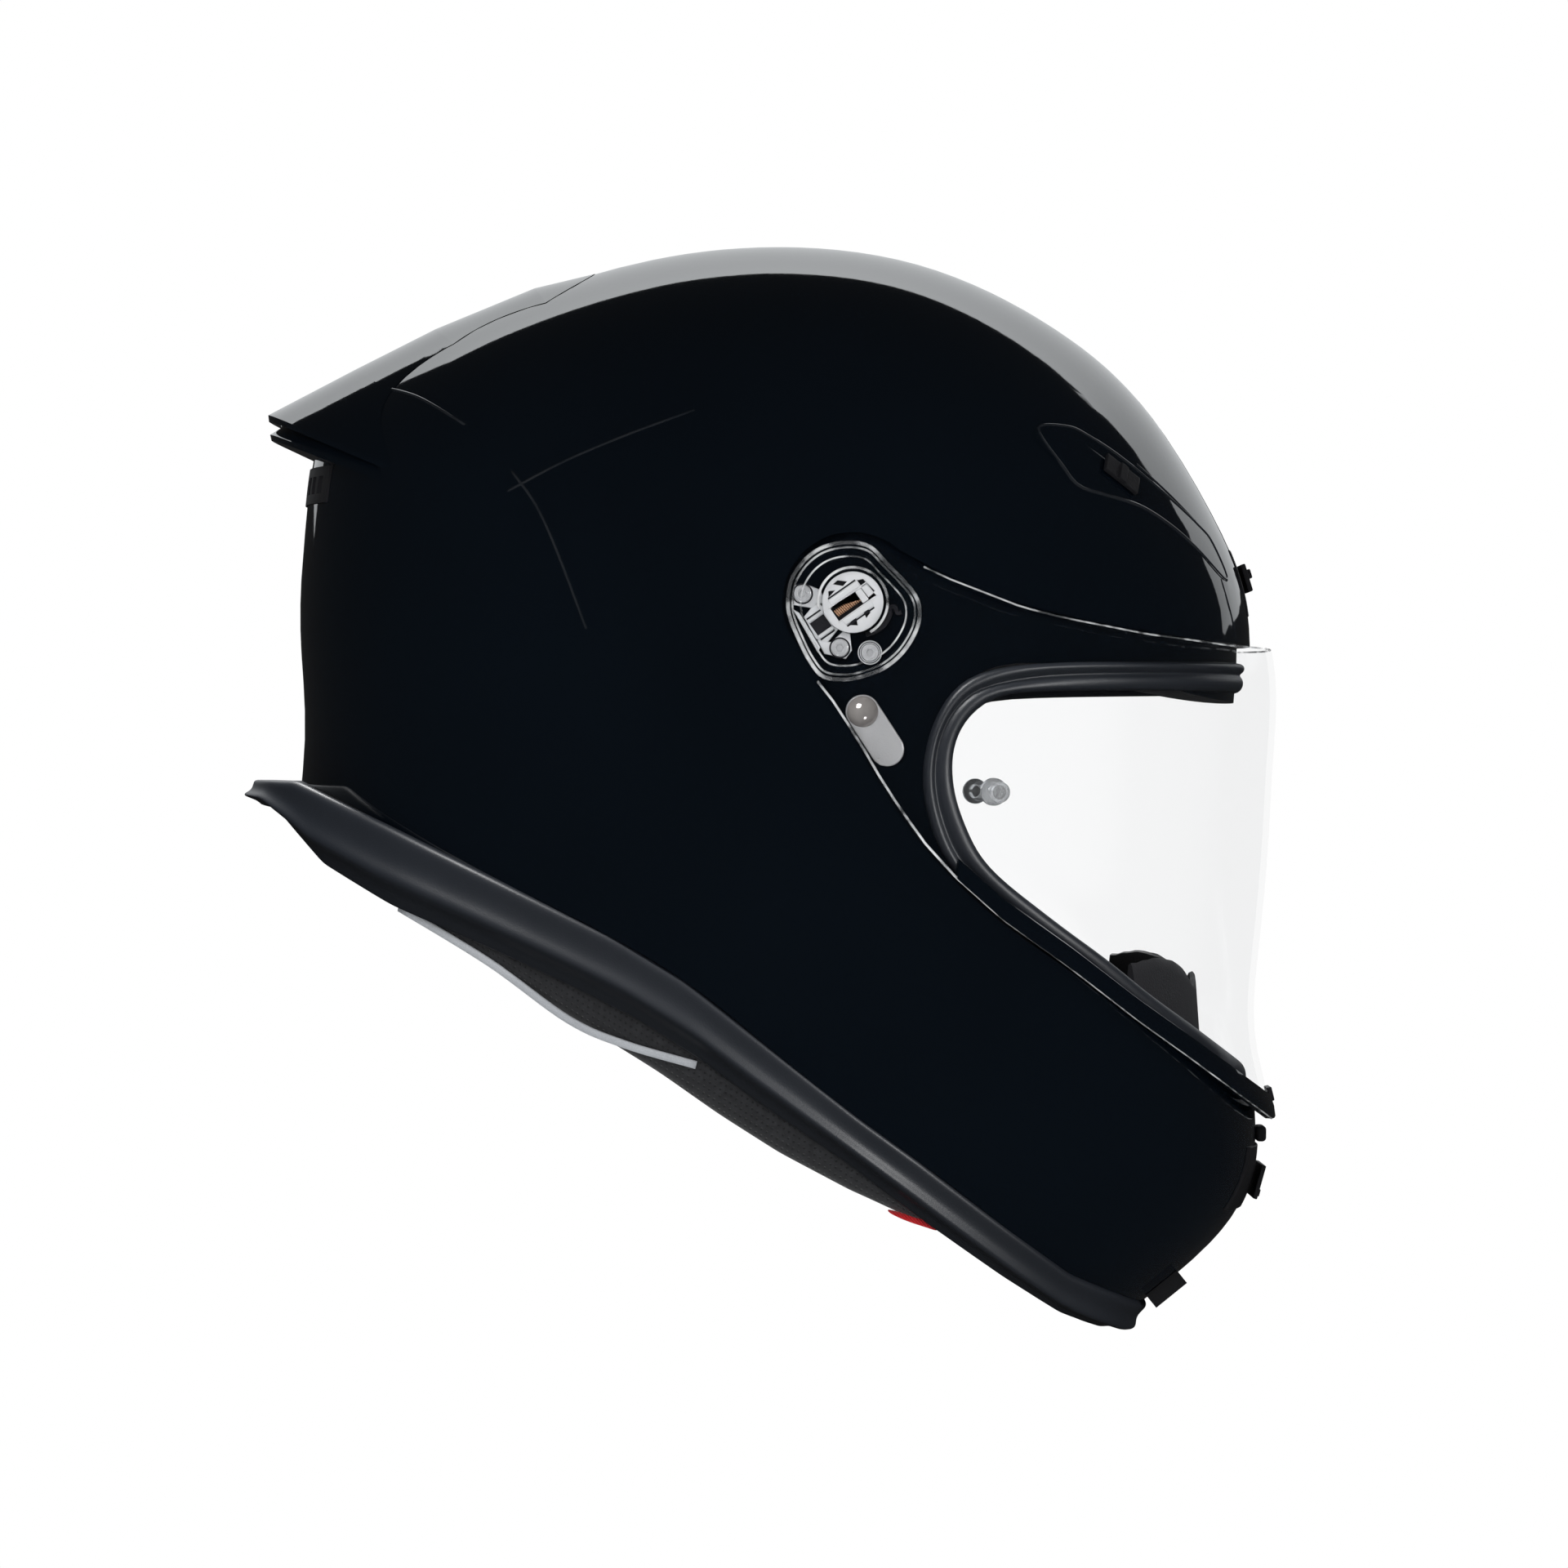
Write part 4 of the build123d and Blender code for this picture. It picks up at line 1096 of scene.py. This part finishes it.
class HELMET_OT_pull_tabs(bpy.types.Operator):
    """Sew the red release tabs of the cheek pads"""

    bl_idname = "helmet.pull_tabs"
    bl_label = "Release Tabs"

    def execute(self, context):
        for word, side in SIDES:
            points = [SHELL.side(x, z, side) for x, z in TAB_PATH]
            rows = []
            for point, breadth in zip(points, TAB_BREADTH):
                up = SHELL.outward(point)
                base = point - up * 5.2
                rows.append([base + TAB_DOWN * breadth * a + up * b for a, b in TAB_SECTION])
            tab = finish_mesh(f"release_tab_{word}", lofted(rows), finish_of("pull_tab"))
            smooth_edges(tab, 2)
            place(tab, "helmet", "pull_tab", f"pull_tab_{word}")
        return {"FINISHED"}


# ---------------------------------------------------------------- visor edges
VISOR_OUTLINE = [
    (158.8, -22.0), (154.5, 3.0), (143.0, 33.8), (121.0, 67.0), (91.0, 94.0),
    (45.0, 114.5), (-5.2, 120.0), (-51.0, 114.0), (-92.0, 101.5), (-122.5, 88.2),
    (-141.0, 75.5), (-149.0, 55.0), (-151.8, 28.0), (-153.0, -3.0), (-151.6, -38.0),
    (-155.0, -78.0), (-148.0, -125.0), (-112.0, -187.0), (-45.0, -234.0), (30.0, -248.0),
    (92.0, -237.0), (130.0, -214.0), (152.0, -190.0), (158.0, -160.0), (152.0, -130.0),
    (155.0, -88.0), (157.5, -50.0),
]
VISOR = Egg(VISOR_OUTLINE, 128.8)
VISOR_TOP = [
    (37.6, 17.3), (52.2, 10.4), (74.9, 1.8), (87.6, -1.3), (114.0, -6.0),
    (141.0, -9.0), (172.0, -10.0),
]
VISOR_LOW = [
    (13.5, -21.0), (24.9, -38.4), (33.5, -53.2), (44.7, -69.3), (54.6, -80.2),
    (69.0, -93.0), (91.1, -108.8), (111.0, -124.1), (127.6, -135.9), (142.0, -146.4),
    (157.3, -157.6), (172.0, -168.5),
]
BOSS_RIM = [
    (21.6, 21.0), (28.4, 19.8), (33.7, 14.6), (38.6, 9.6), (42.4, 4.8), (43.6, 0.2),
    (42.6, -5.4), (38.8, -11.8), (33.7, -16.4), (28.2, -18.9), (21.6, -20.4), (14.6, -19.6),
    (10.6, -15.2), (7.2, -8.6), (4.2, -1.0), (3.9, 5.0), (5.2, 10.4), (9.2, 16.0), (14.6, 19.6),
]


def rim_path(egg, edge, widest, count=80):
    """A rim edge's points from one side round the front to the other."""
    turns = turns_round(count, -math.radians(widest), math.radians(widest))
    return [rim_point(egg, edge, turn) for turn in turns]


LIP_HEIGHT = 6.5
LIP_PROFILE = [
    (0.0, -2.4), (0.0, 0.0), (0.06, 0.5), (0.5, 0.8), (0.92, 0.8), (1.0, 0.4), (1.03, -0.4),
    (1.0, -2.4), (0.0, -2.4),
]


class HELMET_OT_visor_edges(bpy.types.Operator):
    """Round the clear visor's edges and raise the ribs of its hinge bosses, as pale beads that paint
    the highlights these edges catch
    """

    bl_idname = "helmet.visor_edges"
    bl_label = "Visor Edges"

    def execute(self, context):
        # The edge beads take a pale finish that paints the highlights of the clear edges.
        clear = finish_of("moulded_edge")
        shapes = []
        for edge, widest, radius in ((VISOR_TOP, 66.0, 0.3), (VISOR_LOW, 80.0, 0.4)):
            points = rim_path(VISOR, edge, widest)
            ups = [VISOR.outward(p) for p in points]
            sunk = [p - up * 0.5 for p, up in zip(points, ups)]
            shapes.append(swept(sunk, ups, round_section(radius)))
        rim = finish_mesh("visor_rim", gathered(shapes), clear)
        place(rim, "visor", "visor_clear")
        raised = [(x, z + LIP_HEIGHT) for x, z in VISOR_LOW]
        spread = math.radians(62.0)
        rows = skirt(VISOR, raised, VISOR_LOW, LIP_PROFILE, turns_round(90, -spread, spread))
        lip = finish_mesh("visor_lip", lofted(rows), finish_of("vent_gloss"))
        crisp(lip, 40.0)
        place(lip, "visor", "visor_fitting")
        middle = Vector((sum(x for x, z in BOSS_RIM), sum(z for x, z in BOSS_RIM))) / len(BOSS_RIM)
        for word, side in SIDES:
            shapes = []
            for share, radius in ((1.0, 0.62), (0.93, 0.34), (0.8, 0.3)):
                path = [tuple(middle + (Vector(p) - middle) * share) for p in BOSS_RIM]
                shapes.append(skin_bead(VISOR, path, side, radius, 0.1, True))
            ring = arc(PIVOT, BOSS_RADIUS + 1.1, -60, 190, 40)
            shapes.append(skin_bead(VISOR, ring, side, 0.42, 0.1, False, 1))
            boss = finish_mesh(f"visor_boss_{word}", gathered(shapes), clear)
            place(boss, "visor", "visor_clear")
        return {"FINISHED"}


# ---------------------------------------------------------------- hinge plates
BOSS_RADIUS = 9.4
PLATE_FLOOR = 118.6
PLATE_TOP = 121.2
FACE_FLOOR = 122.0
SLOPE = math.radians(35.0)
SCREWS = [(8.2, 5.6), (19.5, -10.8), (28.6, -12.2)]
EARS = [
    [(5.8, 8.2), (8.7, 8.8), (13.7, 6.8), (15.2, 3.4), (11.4, 1.2), (5.5, 2.2)],
    [
        (16.9, -9.0), (20.6, -5.6), (22.6, -6.4), (23.2, -11.6), (21.3, -14.1), (14.8, -12.6),
        (12.6, -8.4),
    ],
    [(8.6, -1.4), (12.6, 3.6), (20.0, -4.0), (15.4, -9.6), (12.2, -8.0)],
]
# Rails along the slope: start, end, near and far distance across, base, rise and rounding.
RAILS = (
    (-5.8, 4.6, 2.75, 4.5, BOSS_TOP, 0.5, 0.25),
    (-14.6, -9.0, 2.4, 3.3, PLATE_TOP, 0.5, 0.2),
    (-7.2, 7.2, 2.45, 2.75, BOSS_TOP, 0.25, 0.1),
)
# Dark strips along the slope, laid on the plate to paint the shade of its grooves: start, end, low and
# high distance across, and level.
SHADE_STRIPS = (
    (-14.4, -9.3, -2.2, 2.2, PLATE_TOP),
    (-14.4, -9.3, 3.5, 4.0, PLATE_TOP),
    (-14.4, -9.3, -4.0, -3.5, PLATE_TOP),
    (-5.6, 4.4, 4.8, 5.3, BOSS_TOP),
    (-5.6, 4.4, -5.3, -4.8, BOSS_TOP),
)
SIDE_BAR = [(5.2, 1.0), (7.3, -0.2), (13.6, -10.6), (12.8, -12.2)]
FACE_HOLES = [
    [(-6.0, 5.4), (-4.6, 6.6), (-1.7, 6.2), (-3.0, 4.9)],
    [(1.3, 6.6), (3.1, 7.0), (6.6, 3.4), (4.8, 1.9)],
    [(3.2, -2.8), (4.4, -1.3), (5.3, -3.1), (4.1, -4.8)],
    [(-7.4, 3.3), (-5.4, 3.5), (-7.3, 1.5)],
    [(0.9, -4.4), (1.5, -7.0), (-1.4, -6.9)],
]
STOP_LEVER = [
    (27.4, -6.8), (30.4, -5.7), (33.2, -3.5), (34.8, -0.2), (34.3, 1.2), (36.0, 1.8), (37.0, -0.2),
    (38.2, 0.1),
]


def on_slope(along, across):
    """A place in the side view, measured from the hinge along and across the latch's slope."""
    return (
        PIVOT[0] + along * math.cos(SLOPE) - across * math.sin(SLOPE),
        PIVOT[1] + along * math.sin(SLOPE) + across * math.cos(SLOPE),
    )


def slope_box(start, end, low, high):
    """A rectangle that lies along the latch's slope."""
    return [on_slope(start, low), on_slope(end, low), on_slope(end, high), on_slope(start, high)]


class HELMET_OT_hinges(bpy.types.Operator):
    """Build the visor's hinge plates, their screws, latches and coil springs"""

    bl_idname = "helmet.hinges"
    bl_label = "Hinge Plates"

    def execute(self, context):
        for word, side in SIDES:
            self.plate(word, side)
            self.shade_and_lever(word, side)
            self.screws(word, side)
            softened(f"pivot_latch_{word}", 0.3, "pivot_plastic", 2)
            self.spring(word, side)
        return {"FINISHED"}

    def plate(self, word, side):
        groove = slope_box(-6.7, 6.7, -2.3, 2.3)
        holes = [[(PIVOT[0] + x, PIVOT[1] + z) for x, z in hole] for hole in FACE_HOLES]
        shapes = [slab(arc(PIVOT, BOSS_RADIUS - 0.1)[:-1], FACE_FLOOR, BOSS_TOP, 0.3, [groove, *holes])]
        for ear in EARS:
            shapes.append(slab(ear, PLATE_FLOOR + 0.1, PLATE_TOP, 0.5))
        shapes.append(slab(SIDE_BAR, PLATE_FLOOR + 0.1, PLATE_TOP + 0.45, 0.35))
        for start, end, near, far, base, rise, rounding in RAILS:
            for low, high in ((-far, -near), (near, far)):
                rail = slope_box(start, end, low, high)
                shapes.append(slab(rail, base - 0.2, base + rise, rounding))
        plate = onto_side(gathered(shapes), side)
        plate = finish_mesh(f"hinge_plate_{word}", plate, finish_of("pivot_plastic"))
        crisp(plate, 28.0)
        place(plate, "helmet", "pivot_plastic", f"pivot_base_{word}")

    # Dark pieces under and on the plate paint the shade of its holes, grooves and screw gaps; the stop
    # lever is a dark part of its own.
    def shade_and_lever(self, word, side):
        # A dark disc under the face, seen through its holes and groove, paints the shade in them.
        shapes = [slab(arc(PIVOT, BOSS_RADIUS - 0.3)[:-1], PLATE_FLOOR + 0.1, FACE_FLOOR)]
        for start, end, low, high, level in SHADE_STRIPS:
            shapes.append(slab(slope_box(start, end, low, high), level - 0.3, level + 0.08))
        # Dark rings round the first two screws paint the shade of the gaps round their heads.
        for spot in SCREWS[:2]:
            rim = [arc(spot, 2.75)[:-1]]
            shapes.append(slab(arc(spot, 3.2)[:-1], PLATE_TOP - 0.3, PLATE_TOP + 0.08, 0.0, rim))
        path = [Vector((p.x, side * 119.6, p.y)) for p in curve_through(STOP_LEVER, 5)]
        ups = [Vector((0, side, 0))] * len(path)
        lever = swept(path, ups, round_section(0.75, 8, 0.7))
        shapes = [onto_side(gathered(shapes), side), lever]
        shade_and_lever = finish_mesh(f"hinge_floor_{word}", gathered(shapes), finish_of("visor_fitting"))
        crisp(shade_and_lever, 28.0)
        place(shade_and_lever, "helmet", "pivot_plastic")

    def screws(self, word, side):
        shapes = []
        for spot in SCREWS:
            socket = arc(spot, 1.15, 0, 300, 5)
            shapes.append(slab(arc(spot, 2.6)[:-1], PLATE_TOP - 0.1, PLATE_TOP + 1.3, 0.35, [socket]))
            shapes.append(slab(arc(spot, 1.3, count=20)[:-1], PLATE_FLOOR + 0.2, PLATE_TOP + 0.5))
            rim = [arc(spot, 1.5)[:-1]]
            ring = arc(spot, 1.9, count=36)[:-1]
            shapes.append(slab(ring, PLATE_TOP + 1.2, PLATE_TOP + 1.45, 0.1, rim))
        spot = SCREWS[2]
        for radius in (3.1, 3.7):
            rim = [arc(spot, radius - 0.4)[:-1]]
            shapes.append(slab(arc(spot, radius)[:-1], PLATE_FLOOR + 0.2, PLATE_TOP + 0.3, 0.15, rim))
        screws = onto_side(gathered(shapes), side)
        screws = finish_mesh(f"hinge_screws_{word}", screws, finish_of("pivot_steel"))
        crisp(screws, 28.0)
        place(screws, "helmet", "pivot_steel", f"pivot_screws_{word}")

    def spring(self, word, side):
        turns, start, end, steps, radius = 12.5, -6.1, 2.1, 14, 1.0
        points = []
        for i in range(int(turns * steps) + 1):
            share = i / (turns * steps)
            angle = math.tau * turns * share
            x, z = on_slope(start + (end - start) * share, radius * math.cos(angle))
            points.append(Vector((x, side * (BOSS_TOP - 1.4 + radius * math.sin(angle)), z)))
        axis = Vector((math.cos(SLOPE), 0, math.sin(SLOPE)))
        wire = swept(points, [axis] * len(points), round_section(0.25, 6))
        coil = finish_mesh(f"latch_coil_{word}", wire, finish_of("spring"))
        place(coil, f"pivot_latch_{word}", "spring", f"latch_spring_{word}")


# ---------------------------------------------------------------- studs
STUD = (26.4, -30.1)
STUD_PLATE_END = (33.8, -41.5)
STUD_PLATE_RADIUS = 5.2


class HELMET_OT_studs(bpy.types.Operator):
    """Round the capsule plates that carry the visor's lock studs"""

    bl_idname = "helmet.studs"
    bl_label = "Lock Stud Plates"

    def execute(self, context):
        lean = math.degrees(math.atan2(STUD_PLATE_END[1] - STUD[1], STUD_PLATE_END[0] - STUD[0]))
        outline = arc(STUD_PLATE_END, STUD_PLATE_RADIUS, lean - 90, lean + 90, 20)
        outline += arc(STUD, STUD_PLATE_RADIUS, lean + 90, lean + 270, 20)
        for word, side in SIDES:
            bm = onto_side(slab(outline, 117.6, 121.6, 0.7), side)
            plate = finish_mesh(f"stud_capsule_{word}", bm, finish_of("stud_metal"))
            crisp(plate, 40.0)
            place(plate, "helmet", "stud_metal", f"stud_plate_{word}")
            NODES[f"lock_stud_{word}"].data.materials[0] = finish_of("stud_dome")
        return {"FINISHED"}


# ---------------------------------------------------------------- shell lines
BROW_LEAF = [
    (80.6, 57.0), (89.9, 58.0), (96.4, 55.3), (105.9, 49.5), (118.6, 39.8),
    (131.4, 29.0), (136.4, 23.3), (140.9, 11.8), (130.0, 22.0), (121.0, 29.0),
    (112.0, 34.0), (101.0, 37.0), (93.0, 39.5), (88.0, 45.5),
]
CREASES = [
    [(-127.8, 73.0), (-118.0, 70.6), (-109.0, 67.0), (-95.4, 58.4)],
    [(-80.5, 43.5), (-73.0, 33.0), (-66.5, 19.0), (-57.4, -4.9)],
    [(-81.7, 37.3), (-64.0, 46.5), (-45.0, 54.5), (-24.7, 62.0)],
]
BROW_LINES = [
    [(112.0, 47.0), (122.0, 38.5), (131.0, 30.0)],
    [(96.0, 52.0), (104.0, 46.0), (109.0, 41.0)],
    [(139.0, 12.0), (142.5, 0.0), (144.0, -7.0)],
]


class HELMET_OT_shell_lines(bpy.types.Operator):
    """Raise the shell's fine crease lines and the edges of its brow vents, in a paler lacquer that
    paints their highlights
    """

    bl_idname = "helmet.shell_lines"
    bl_label = "Crease Lines"

    def execute(self, context):
        for word, side in SIDES:
            shapes = [skin_bead(SHELL, path, side, 0.55, -0.3) for path in CREASES + BROW_LINES]
            shapes.append(skin_bead(SHELL, BROW_LEAF, side, 0.6, -0.05, True))
            # The beads' paler lacquer paints the highlights along the creases and vent edges.
            lines = finish_mesh(f"crease_lines_{word}", gathered(shapes), finish_of("crease_lacquer"))
            place(lines, "helmet", "shell")
        return {"FINISHED"}


# ---------------------------------------------------------------- breath deflector
# Half of the crest, as (sideways, up). The section is (depth under the skin, share of the way down).
DEFLECTOR_TOP = [(-80, -107.5), (-62, -106.5), (-44, -109.5), (-26, -114.5), (-14, -113.5), (0, -111.5)]
DEFLECTOR_LOW = -132.0
DEFLECTOR_SECTION = (
    (15.2, 0.0), (15.0, 0.1), (15.0, 1.0), (17.4, 1.0), (17.4, 0.1), (16.8, -0.02), (15.8, -0.04),
    (15.2, 0.0),
)


class HELMET_OT_deflector(bpy.types.Operator):
    """Form the breath deflector that stands behind the eye port's lower edge"""

    bl_idname = "helmet.deflector"
    bl_label = "Breath Deflector"

    def execute(self, context):
        crest = DEFLECTOR_TOP + [(-y, z) for y, z in reversed(DEFLECTOR_TOP[:-1])]
        rows = []
        for p in curve_through(crest, 6):
            row = []
            for depth, level in DEFLECTOR_SECTION:
                z = p.y + (DEFLECTOR_LOW - p.y) * level
                skin = SHELL.reach_along(Vector((0, p.x, z)), Vector((1, 0, 0)))
                row.append(skin - SHELL.outward(skin) * depth)
            rows.append(row)
        mask = finish_mesh("deflector_mask", lofted(rows), finish_of("vent_plastic"))
        crisp(mask, 40.0)
        place(mask, "helmet", "vent_plastic", "breath_deflector")
        return {"FINISHED"}


# ---------------------------------------------------------------- small mouldings
class HELMET_OT_mouldings(bpy.types.Operator):
    """Round the edges of the vents, their sliders and the other small mouldings"""

    bl_idname = "helmet.mouldings"
    bl_label = "Vents and Mouldings"

    def execute(self, context):
        rounded = {
            "chin_intake": 0.9, "visor_catch": 1.2, "visor_lift_tab": 0.4, "centre_vent_slider": 0.4,
            "chin_vent_slider": 0.4, "brow_slider_right": 0.35, "brow_slider_left": 0.35,
            "chin_vent_housing": 0.4, "centre_vent_frame": 0.4, "rear_exhaust_grille": 0.4,
            "chin_curtain": 0.5, "strap_right": 0.5, "strap_left": 0.5,
            "strap_anchors": 0.5, "anti_fog_post_right": 0.3, "anti_fog_post_left": 0.3,
        }
        slots = {part["node"]: part["material_slot"] for part in frame["record"]["subparts"]}
        for node, width in rounded.items():
            softened(node, width, slots[node])
        return {"FINISHED"}


# ---------------------------------------------------------------- soft lining
def plumped(name, node, slot, voxel, shrink, cap, pressure):
    """A padded piece: a CAD pad remeshed, blown up softly as cloth, and held to its space."""
    piece = finish_mesh(name, node_copy(node), finish_of(slot))
    remesh = piece.modifiers.new("remesh", "REMESH")
    remesh.mode = "VOXEL"
    remesh.voxel_size = voxel * MM
    remesh.use_smooth_shade = True
    piece = applied(piece)
    bm = bmesh.new()
    bm.from_mesh(piece.data)
    for _ in range(4):
        bmesh.ops.smooth_vert(
            bm, verts=bm.verts, factor=0.5, use_axis_x=True, use_axis_y=True, use_axis_z=True
        )
    bm.normal_update()
    for vert in bm.verts:
        vert.co -= vert.normal * shrink * MM
    bm.to_mesh(piece.data)
    bm.free()
    blow_up(piece, pressure, cap)
    smooth_edges(piece)
    piece.data.materials.clear()
    piece.data.materials.append(finish_of(slot))
    for face in piece.data.polygons:
        face.use_smooth = True
    place(piece, "helmet", slot, node)
    return piece


def blow_up(piece, pressure, cap):
    """Swell a closed mesh as cloth under pressure, each point moving no more than the cap."""
    start = [vert.co.copy() for vert in piece.data.vertices]
    cloth = piece.modifiers.new("cloth", "CLOTH")
    cloth.settings.quality = 5
    cloth.settings.mass = 0.3
    cloth.settings.use_pressure = True
    cloth.settings.uniform_pressure_force = pressure
    cloth.settings.effector_weights.gravity = 0
    cloth.point_cache.frame_start = 1
    cloth.point_cache.frame_end = 20
    scene = bpy.context.scene
    for number in range(1, 21):
        scene.frame_set(number)
    applied(piece)
    scene.frame_set(1)
    for vert, before in zip(piece.data.vertices, start):
        move = vert.co - before
        if move.length > cap * MM:
            vert.co = before + move.normalized() * cap * MM


def seam(name, pad, rays, radius=0.9):
    """A sewn welt laid on a pad where rays, each a start and a direction, meet it."""
    bpy.context.view_layer.update()
    tree = BVHTree.FromObject(pad, bpy.context.evaluated_depsgraph_get())
    points, ups = [], []
    for start, aim in rays:
        spot, normal, _, _ = tree.ray_cast(start * MM, aim)
        if spot is not None:
            points.append(spot / MM)
            ups.append(normal)
    if len(points) < 3:
        raise ValueError(f"the seam {name} misses its pad")
    return swept(points, ups, round_section(radius, 8))


CHEEK_SEAMS = (
    [(-36, -56), (10, -54), (34, -62), (44, -82), (62, -102), (78, -116)],
    [(-36, -92), (-8, -98), (14, -112), (36, -132), (54, -152)],
)
CROWN_SEAMS = (-34, 0, 34)


class HELMET_OT_lining(bpy.types.Operator):
    """Blow up the cheek pads and the crown lining, and sew their seams"""

    bl_idname = "helmet.lining"
    bl_label = "Pads and Lining"

    def execute(self, context):
        for word, side in SIDES:
            pad = plumped(
                f"cheek_cushion_{word}", f"cheek_pad_{word}", "comfort_fabric", 5.0, 1.6, 3.5, 3.0
            )
            aim = Vector((0, side, 0))
            welts = []
            for path in CHEEK_SEAMS:
                rays = [(Vector((p.x, 0, p.y)), aim) for p in curve_through(path, 6)]
                welts.append(seam("cheek", pad, rays))
            piece = finish_mesh(f"cheek_welts_{word}", gathered(welts), finish_of("roll_fabric"))
            place(piece, "helmet", "comfort_fabric")
        crown = plumped("crown_cushion", "crown_liner", "comfort_fabric", 4.5, 0.8, 2.0, 2.0)
        welts = []
        fan = [math.radians(degree) for degree in range(20, 165, 5)]
        for y in CROWN_SEAMS:
            rays = [(Vector((0, y, 0)), Vector((math.cos(t), 0, math.sin(t)))) for t in fan]
            welts.append(seam("crown", crown, rays))
        piece = finish_mesh("crown_welts", gathered(welts), finish_of("roll_fabric"))
        place(piece, "helmet", "comfort_fabric")
        return {"FINISHED"}


# ---------------------------------------------------------------- fitting lamps
BRIGHT_PIECES = (
    "hinge_plate", "hinge_screws", "latch_coil", "stud_capsule", "pivot_latch", "anti_fog",
)
DOME_PIECES = ("lock_stud",)
MATT_PIECES = ("rim_trim", "eye_port_seal", "deflector_mask")
FITTING_LAMPS = (
    ("fitting_key", (-1.3, -1.7, 1.5), 0.5, 11.0),
    ("fitting_rim", (1.5, -1.5, 0.2), 0.3, 7.0),
    ("fitting_low", (-0.4, -1.5, -1.3), 0.3, 4.0),
)
DOME_LAMPS = (
    ("dome_key", (-0.8, -1.5, 1.2), 0.9, 40.0),
    ("dome_low", (0.6, -1.6, -1.4), 0.5, 10.0),
)
RUBBER_LAMPS = (
    ("rubber_key", (-0.5, -1.1, 1.9), 0.4, 60.0),
    ("rubber_front", (1.7, -1.3, 0.2), 0.4, 22.0),
    ("rubber_far_key", (-0.5, 1.1, 1.9), 0.4, 60.0),
)


class HELMET_OT_fitting_lamps(bpy.types.Operator):
    """Give the bright fittings and the rubber trims small lamps of their own"""

    bl_idname = "helmet.fitting_lamps"
    bl_label = "Fitting Lamps"

    def execute(self, context):
        for title, names, lamps in (
            ("bright_fittings", BRIGHT_PIECES, FITTING_LAMPS),
            ("stud_domes", DOME_PIECES, DOME_LAMPS),
            ("matt_fittings", MATT_PIECES, RUBBER_LAMPS),
        ):
            group = bpy.data.collections.new(title)
            for piece in bpy.data.objects:
                if piece.type == "MESH" and piece.name.startswith(names):
                    group.objects.link(piece)
            for name, centre, size, power in lamps:
                lamp = soft_light(name, centre, size, power)
                lamp.visible_glossy = True
                lamp.light_linking.receiver_collection = group
        return {"FINISHED"}


# ---------------------------------------------------------------- panel and run
STEPS = (
    HELMET_OT_stage,
    HELMET_OT_carried,
    HELMET_OT_trim,
    HELMET_OT_gasket,
    HELMET_OT_neck_roll,
    HELMET_OT_pull_tabs,
    HELMET_OT_visor_edges,
    HELMET_OT_hinges,
    HELMET_OT_studs,
    HELMET_OT_shell_lines,
    HELMET_OT_deflector,
    HELMET_OT_mouldings,
    HELMET_OT_lining,
    HELMET_OT_fitting_lamps,
)


class HELMET_PT_build(bpy.types.Panel):
    """The helmet's building steps, in order"""

    bl_idname = "HELMET_PT_build"
    bl_label = "Motorcycle Helmet"
    bl_space_type = "VIEW_3D"
    bl_region_type = "UI"
    bl_category = "Helmet"

    def draw(self, context):
        for step in STEPS:
            self.layout.operator(step.bl_idname)


CLASSES = (HELMET_PG_finish, HELMET_PG_shape, *STEPS, HELMET_PT_build)


def register():
    for kind in CLASSES:
        bpy.utils.register_class(kind)
    bpy.types.Scene.helmet_finish = bpy.props.PointerProperty(type=HELMET_PG_finish)
    bpy.types.Scene.helmet_shape = bpy.props.PointerProperty(type=HELMET_PG_shape)


def unregister():
    del bpy.types.Scene.helmet_shape
    del bpy.types.Scene.helmet_finish
    for kind in reversed(CLASSES):
        bpy.utils.unregister_class(kind)


def main():
    register()
    FINISHES.update(make_finishes(bpy.context.scene.helmet_finish))
    for step in STEPS:
        family, name = step.bl_idname.split(".")
        getattr(getattr(bpy.ops, family), name)()


if __name__ == "__main__":
    main()
